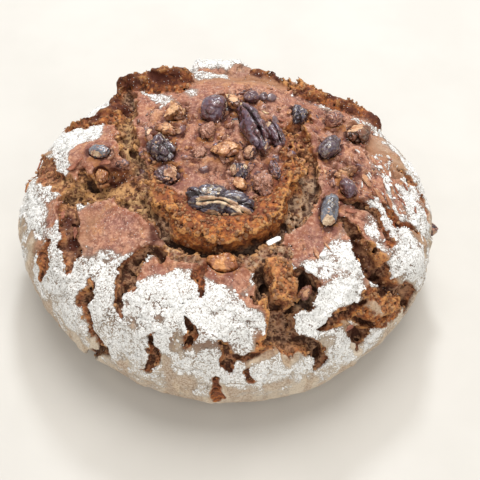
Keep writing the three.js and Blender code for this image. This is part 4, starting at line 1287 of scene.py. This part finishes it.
def kernel_shape(half, shape, broken, seed, roughness):
    """Vertices, faces and masks of one kernel, in its own axes."""
    points, faces = BALLS[5 if half[0] > 12.0 else 4]
    lumps, wrinkles, fold, facets = SHAPES[shape]
    real = points * half
    size = min(half)
    warp = columns(*(noise(real, size * 0.9, seed + k) for k in (1, 2, 3))) * size * 0.5
    wide = np.abs(noise(real + warp, size * 0.85, seed + 4))
    narrow = np.abs(noise(real + 0.6 * warp, size * 0.42, seed + 9))
    crease = np.clip(bell(wide, 0.10) + 0.45 * bell(narrow, 0.12), 0.0, 1.0)
    soft = noise(real, size * 1.1, seed + 5)
    fine = noise(real, size * 0.22, seed + 6) + 0.6 * noise(real, size * 0.12, seed + 7)
    groove = bell(points[:, 1] + 0.16 * soft, 0.13) * ramp(points[:, 2], -0.2, 0.5)
    lobes = 0.5 * ramp(wide, 0.0, 0.5) + 0.2 * ramp(narrow, 0.0, 0.5)
    radius = 0.93 + wrinkles * (lobes - 0.4) - 0.8 * wrinkles * crease
    radius = radius + lumps * soft + roughness * fine - fold * groove
    hollow = np.clip(crease * min(1.0, wrinkles * 5) + groove * (fold > 0.04), 0.0, 1.0)
    flesh = np.zeros(len(points))
    dice = np.random.default_rng(seed)
    cuts = [(way, left, 1.0) for *way, left in broken]
    cuts += [(dice.normal(size=3), dice.uniform(0.72, 0.88), 0.35) for _ in range(facets)]
    for way, left, bare in cuts:
        limit = left + 0.08 * noise(real, size * 0.7, seed + 8) + 0.045 * fine
        flat = cut_back(points, radius, unit(np.array(way)), limit, 0.15)
        flesh = np.maximum(flesh, bare * ramp(radius - flat, 0.005, 0.05))
        radius = np.minimum(radius, mix(radius, flat, 0.85))
    slit = np.zeros(len(points))
    if shape == "long" and broken:
        # The bare rim of the half kernel: a pale band along its front, with a dark seam in it.
        line = points[:, 1] + 0.38 - 0.15 * np.cos(4.2 * points[:, 0] - 0.5)
        along = ramp(-np.abs(points[:, 0] - 0.15), -0.80, -0.62) * ramp(points[:, 2], -0.1, 0.2)
        band = bell(line, 0.25, 4) * along
        slit = bell(line + 0.03, 0.075) * along * ramp(noise(real, 5.0, seed + 3), -0.5, 0.1)
        flesh = np.maximum(flesh, band)
        hollow = hollow * (1 - band)
        radius = radius + 0.07 * band - 0.22 * slit
    return points * radius[:, None] * half, faces, {
        "flesh": flesh, "hollow": hollow, "ridge": ramp(lobes + 0.3 * fine, 0.55, 0.85), "slit": slit,
    }


def make_kernels():
    slots = {part["node"]: part["material_slot"] for part in frame["record"]["subparts"]}
    for seed, (name, (shape, coated, cool, *broken)) in enumerate(KERNELS.items()):
        centre, axes, half = SEATS[name]
        half = half * GROWN.get(name, 1.0)
        where, faces, masks = kernel_shape(half, shape, broken, 10 + 9 * seed, 0.03 + 0.05 * coated)
        level = where[:, 2] / half[2] + 0.5 * noise(where, 3.0, seed + 60)
        mesh = new_mesh(name + "_kernel", where @ axes + centre, faces)
        add_attributes(
            mesh, **masks, cool=cool, amber=AMBER.get(name, 0.0), plum=PLUM.get(name, 0.0),
            coat=np.clip(coated + 0.4 * (1 - ramp(level, -0.7, 0.0)), 0, 1),
        )
        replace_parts(new_piece(name + "_kernel", mesh, nut_materials[slots[name]], slots[name]), name)


nut_materials = {name: walnut_material(name, *colours) for name, colours in NUT_COLOURS.items()}
make_kernels()


# ---- Loose flour, crumbs and flakes ----
def scatter(name, spots, size, thickness, material, slot, lump=OCTAHEDRON, sink=0.2):
    """One joined mesh of small lumps set on the crust at the given loaf vertices."""
    points, faces = lump
    count = len(spots)
    outward = loaf["facing"][spots]
    side = np.cross(outward, rng.normal(size=(count, 3)))
    side /= np.linalg.norm(side, axis=1, keepdims=True)
    across = np.cross(outward, side)
    sizes = rng.uniform(size[0], size[1], count) * rng.uniform(0.6, 1.0, count)
    shape = points[None] * rng.uniform(0.7, 1.25, (count, len(points), 1)) * sizes[:, None, None]
    flatness = rng.uniform(*thickness, count)[:, None, None]
    where = (
        shape[..., 0:1] * side[:, None] + shape[..., 1:2] * across[:, None]
        + shape[..., 2:3] * outward[:, None] * flatness
    )
    where = where + loaf["where"][spots][:, None]
    where = where + outward[:, None] * (sizes[:, None, None] * flatness * (1 - sink))
    return new_piece(name, joined(name, where, faces, smooth=False), material, slot)


def scatter_bits(name, spots, sizes, slot):
    """One joined mesh of chopped nut, each bit lumpy and faceted by its own noise."""
    points, faces = BALLS[2]
    parts, flesh = [], []
    for number, spot in enumerate(spots):
        outward = loaf["facing"][spot]
        axes = frame_of(unit(np.cross(outward, rng.normal(size=3))), outward)
        half = rng.uniform(*sizes) * np.array([1.0, rng.uniform(0.45, 0.8), rng.uniform(0.4, 0.7)])
        radius = 0.95 + 0.30 * noise(points, 0.9, 80 + number) + 0.18 * noise(points, 0.45, 81 + number)
        flat = radius
        for _ in range(4):
            flat = cut_back(points, flat, unit(rng.normal(size=3)), rng.uniform(0.35, 0.7), 0.2)
        flesh.append(ramp(radius - flat, 0.01, 0.08) * (rng.random() < 0.4))
        where = points * np.minimum(radius, flat)[:, None] * half
        parts.append(where @ axes + loaf["where"][spot] + outward * half[2] * rng.uniform(-0.5, 0.15))
    mesh = joined(name, parts, faces)
    each = len(spots)
    looks = {
        "cool": rng.uniform(0.0, 0.8, each), "amber": 0.7 * (rng.random(each) < 0.2),
        "plum": 0.8 * (rng.random(each) < 0.3), "coat": rng.uniform(0.1, 1.0, each),
    }
    add_attributes(
        mesh, flesh=np.concatenate(flesh), hollow=0.0, slit=0.0, ridge=0.0,
        **{look: np.repeat(values, len(points)) for look, values in looks.items()},
    )
    return new_piece(name, mesh, nut_materials[slot], slot)


def splinters():
    """Small splinters of flaking crust on the right shoulder, most of them in the direction of its cracks."""
    dice = np.random.default_rng(11)
    for number in range(SPLINTERS):
        place = (dice.uniform(58, 90), dice.uniform(-22, 10))
        shape = (dice.uniform(2.0, 6.0), dice.uniform(0.6, 1.5), dice.normal(-50, 28), dice.uniform(0.2, 0.7))
        yield (*place, *shape, ("flour", "crust", "flour", "crust", "skin")[number % 5])


def dropped(points, upward):
    """Lowers a chip into a tear until several of its points touch the bread."""
    near = loaf["where"][lengths(loaf["where"] - points.mean(axis=0)) < 14.0]
    for depth in np.arange(0.6, 9.0, 0.25):
        lower = points - depth * upward
        if (lengths(lower[:, None] - near[None]).min(axis=1) < 0.55).sum() >= 8:
            break
    return lower


def flake(points, number, u, v, length, width, yaw, curl, kind):
    """Vertices of one flake that lies over the crust with its ends curled up, or of a flat chip in a tear."""
    chip = kind == "chip"
    nearest = np.argmin((loaf["u"] - u) ** 2 + (loaf["v"] - v) ** 2 + 40 * (loaf["facing"][:, 2] < 0.1))
    home = dome_point(u, v)
    outward = home - home * np.array([0.55, 0.55, 0.0]) - np.array([0, 0, 30.0])
    outward = 0.7 * outward / np.linalg.norm(outward) + 0.3 * loaf["facing"][nearest]
    outward = unit(CHIP_FACING if chip else outward)
    turn = math.radians(yaw)
    along = np.array([math.cos(turn), math.sin(turn), 0.0])
    axes = frame_of(unit(along - outward * (along @ outward)), outward)
    half = np.array([length / 2, width / 2, FLAKE_HALF_THICKNESS])
    real = points * half
    edge = 1 + 0.30 * noise(real, width * 0.35, 90 + number) + 0.15 * noise(real, 1.2, 91 + number)
    if chip:
        x, y = points[:, 0], points[:, 1]
        edge = np.hypot(x, y) / (x ** 6 + y ** 6 + 1e-6) ** (1 / 6) * (0.6 + 0.4 * edge)
    for _ in range(0 if chip else 5):
        edge = cut_back(points[:, :2], edge, unit(rng.normal(size=2)), 0.55, 0.3)
    where = real * columns(edge, edge, np.ones(len(points)))
    ends, across = where[:, 0] / half[0], where[:, 1] / half[1]
    where[:, 2] += curl * (0.7 * ends ** 2 + 0.5 * across ** 2 - 0.2) + 0.5 * noise(where, 3.0, 92 + number)
    if chip:
        return dropped(where @ axes + home, outward)
    return where @ axes + loaf["where"][nearest] + FLAKE_LIFT * outward


def make_flakes():
    """One joined mesh for each kind of flake."""
    points, faces = BALLS[2]
    every = FLAKES + list(splinters())
    for kind, (slot, *colours) in FLAKE_KINDS.items():
        material = flake_material("flake_" + kind, *colours)
        chosen = [one for one in every if one[-1] == kind]
        parts = [flake(points, number, *one) for number, one in enumerate(chosen)]
        new_piece("flakes_" + kind, joined("flakes_" + kind, parts, faces), material, slot)


def pick(weight, count):
    weight = weight + 1e-9
    weight = weight / weight.sum()
    return rng.choice(len(weight), size=count, replace=False, p=weight)


def make_loose():
    upward = ramp(loaf["facing"][:, 2], 0.0, 0.5)
    flour_spots = pick(ramp(loaf["flour"], 0.45, 0.9) * upward, FLOUR_GRAINS)
    flour = speck_material("loose_flour", (0.84, 0.83, 0.81), (0.72, 0.71, 0.69), 0.95)
    make_flakes()
    flake_spots = pick(ramp(loaf["flour"], 0.3, 0.8) * upward, FLOUR_FLAKES)
    scatter("flour_flakes", flake_spots, (0.5, 1.3), (0.15, 0.35), flour, "flour", sink=0.0)
    scatter("flour_grains", flour_spots, (0.22, 0.55), (0.5, 0.9), flour, "flour")
    dusting = pick((1 - loaf["crumb"]) * upward * (loaf["flour"] < 0.4), FLOUR_DUST)
    scatter("flour_dust", dusting, (0.14, 0.30), (0.5, 0.9), flour, "flour")
    nutty = reader(loaf["u"], loaf["v"])("nutty")[0] * (1 - 0.6 * loaf["crumb"]) * upward
    bits = pick(nutty ** 2, sum(bit[0] for bit in NUT_BITS.values()))
    for kind, (count, *sizes) in NUT_BITS.items():
        scatter_bits("nut_bits_" + kind, bits[:count], sizes, "walnut_" + kind)
        bits = bits[count:]
    crumb_spots = pick(loaf["crumb"] * upward * (1 - ramp(loaf["hollow"], 0.1, 0.4)), CRUMBS)
    crumbs = speck_material("loose_crumbs", (0.42, 0.22, 0.10), (0.17, 0.07, 0.035), 0.85)
    scatter("crumbs", crumb_spots[:LARGE_CRUMBS], (0.4, 1.0), (0.6, 1.0), crumbs, "crust", BALLS[1])
    scatter("crumbs_small", crumb_spots[LARGE_CRUMBS:], (0.2, 0.45), (0.6, 1.0), crumbs, "crust")


make_loose()


# ---- Camera, floor and light ----
def look_at(item, target):
    item.rotation_euler = (Vector(target) - item.location).to_track_quat("-Z", "Y").to_euler()


def make_camera():
    elevation = math.radians(CAMERA_ELEVATION)
    camera = placed("camera", bpy.data.cameras.new("camera"))
    camera.data.sensor_width = 36.0
    camera.data.lens = CAMERA_LENS
    camera.location = AIM + CAMERA_DISTANCE * Vector((0.0, -math.cos(elevation), math.sin(elevation)))
    view_up = Vector((0.0, math.sin(elevation), math.cos(elevation)))
    look_at(camera, AIM + Vector((CAMERA_ASIDE, 0.0, 0.0)) - CAMERA_ASIDE * view_up)
    bpy.context.scene.camera = camera


def make_floor():
    size = FLOOR_HALF
    corners = [(-size, -size), (size, -size), (size, size), (-size, size)]
    mesh = bpy.data.meshes.new("floor")
    mesh.from_pydata([(x, y, FLOOR_LEVEL) for x, y in corners], [], [(0, 1, 2, 3)])
    g = Graph("pale_floor", 0.7)
    mesh.materials.append(g.finish(g.mix(g.noise(60, 3).step(0.3, 0.7), *FLOOR_TINTS)))
    placed("floor", mesh)


def make_light():
    for name, location, size, power, colour in LAMPS:
        lamp = bpy.data.lights.new(name, "AREA")
        lamp.shape = "DISK"
        lamp.size = size
        lamp.energy = power
        lamp.color = colour
        holder = placed(name, lamp)
        holder.location = location
        look_at(holder, AIM)
    world = bpy.data.worlds.new("soft_room")
    world.use_nodes = True
    background = world.node_tree.nodes["Background"]
    background.inputs["Color"].default_value = (1.0, 0.99, 0.97, 1.0)
    background.inputs["Strength"].default_value = 0.56
    bpy.context.scene.world = world
    bpy.context.scene.view_settings.view_transform = "Standard"


make_camera()
make_floor()
make_light()
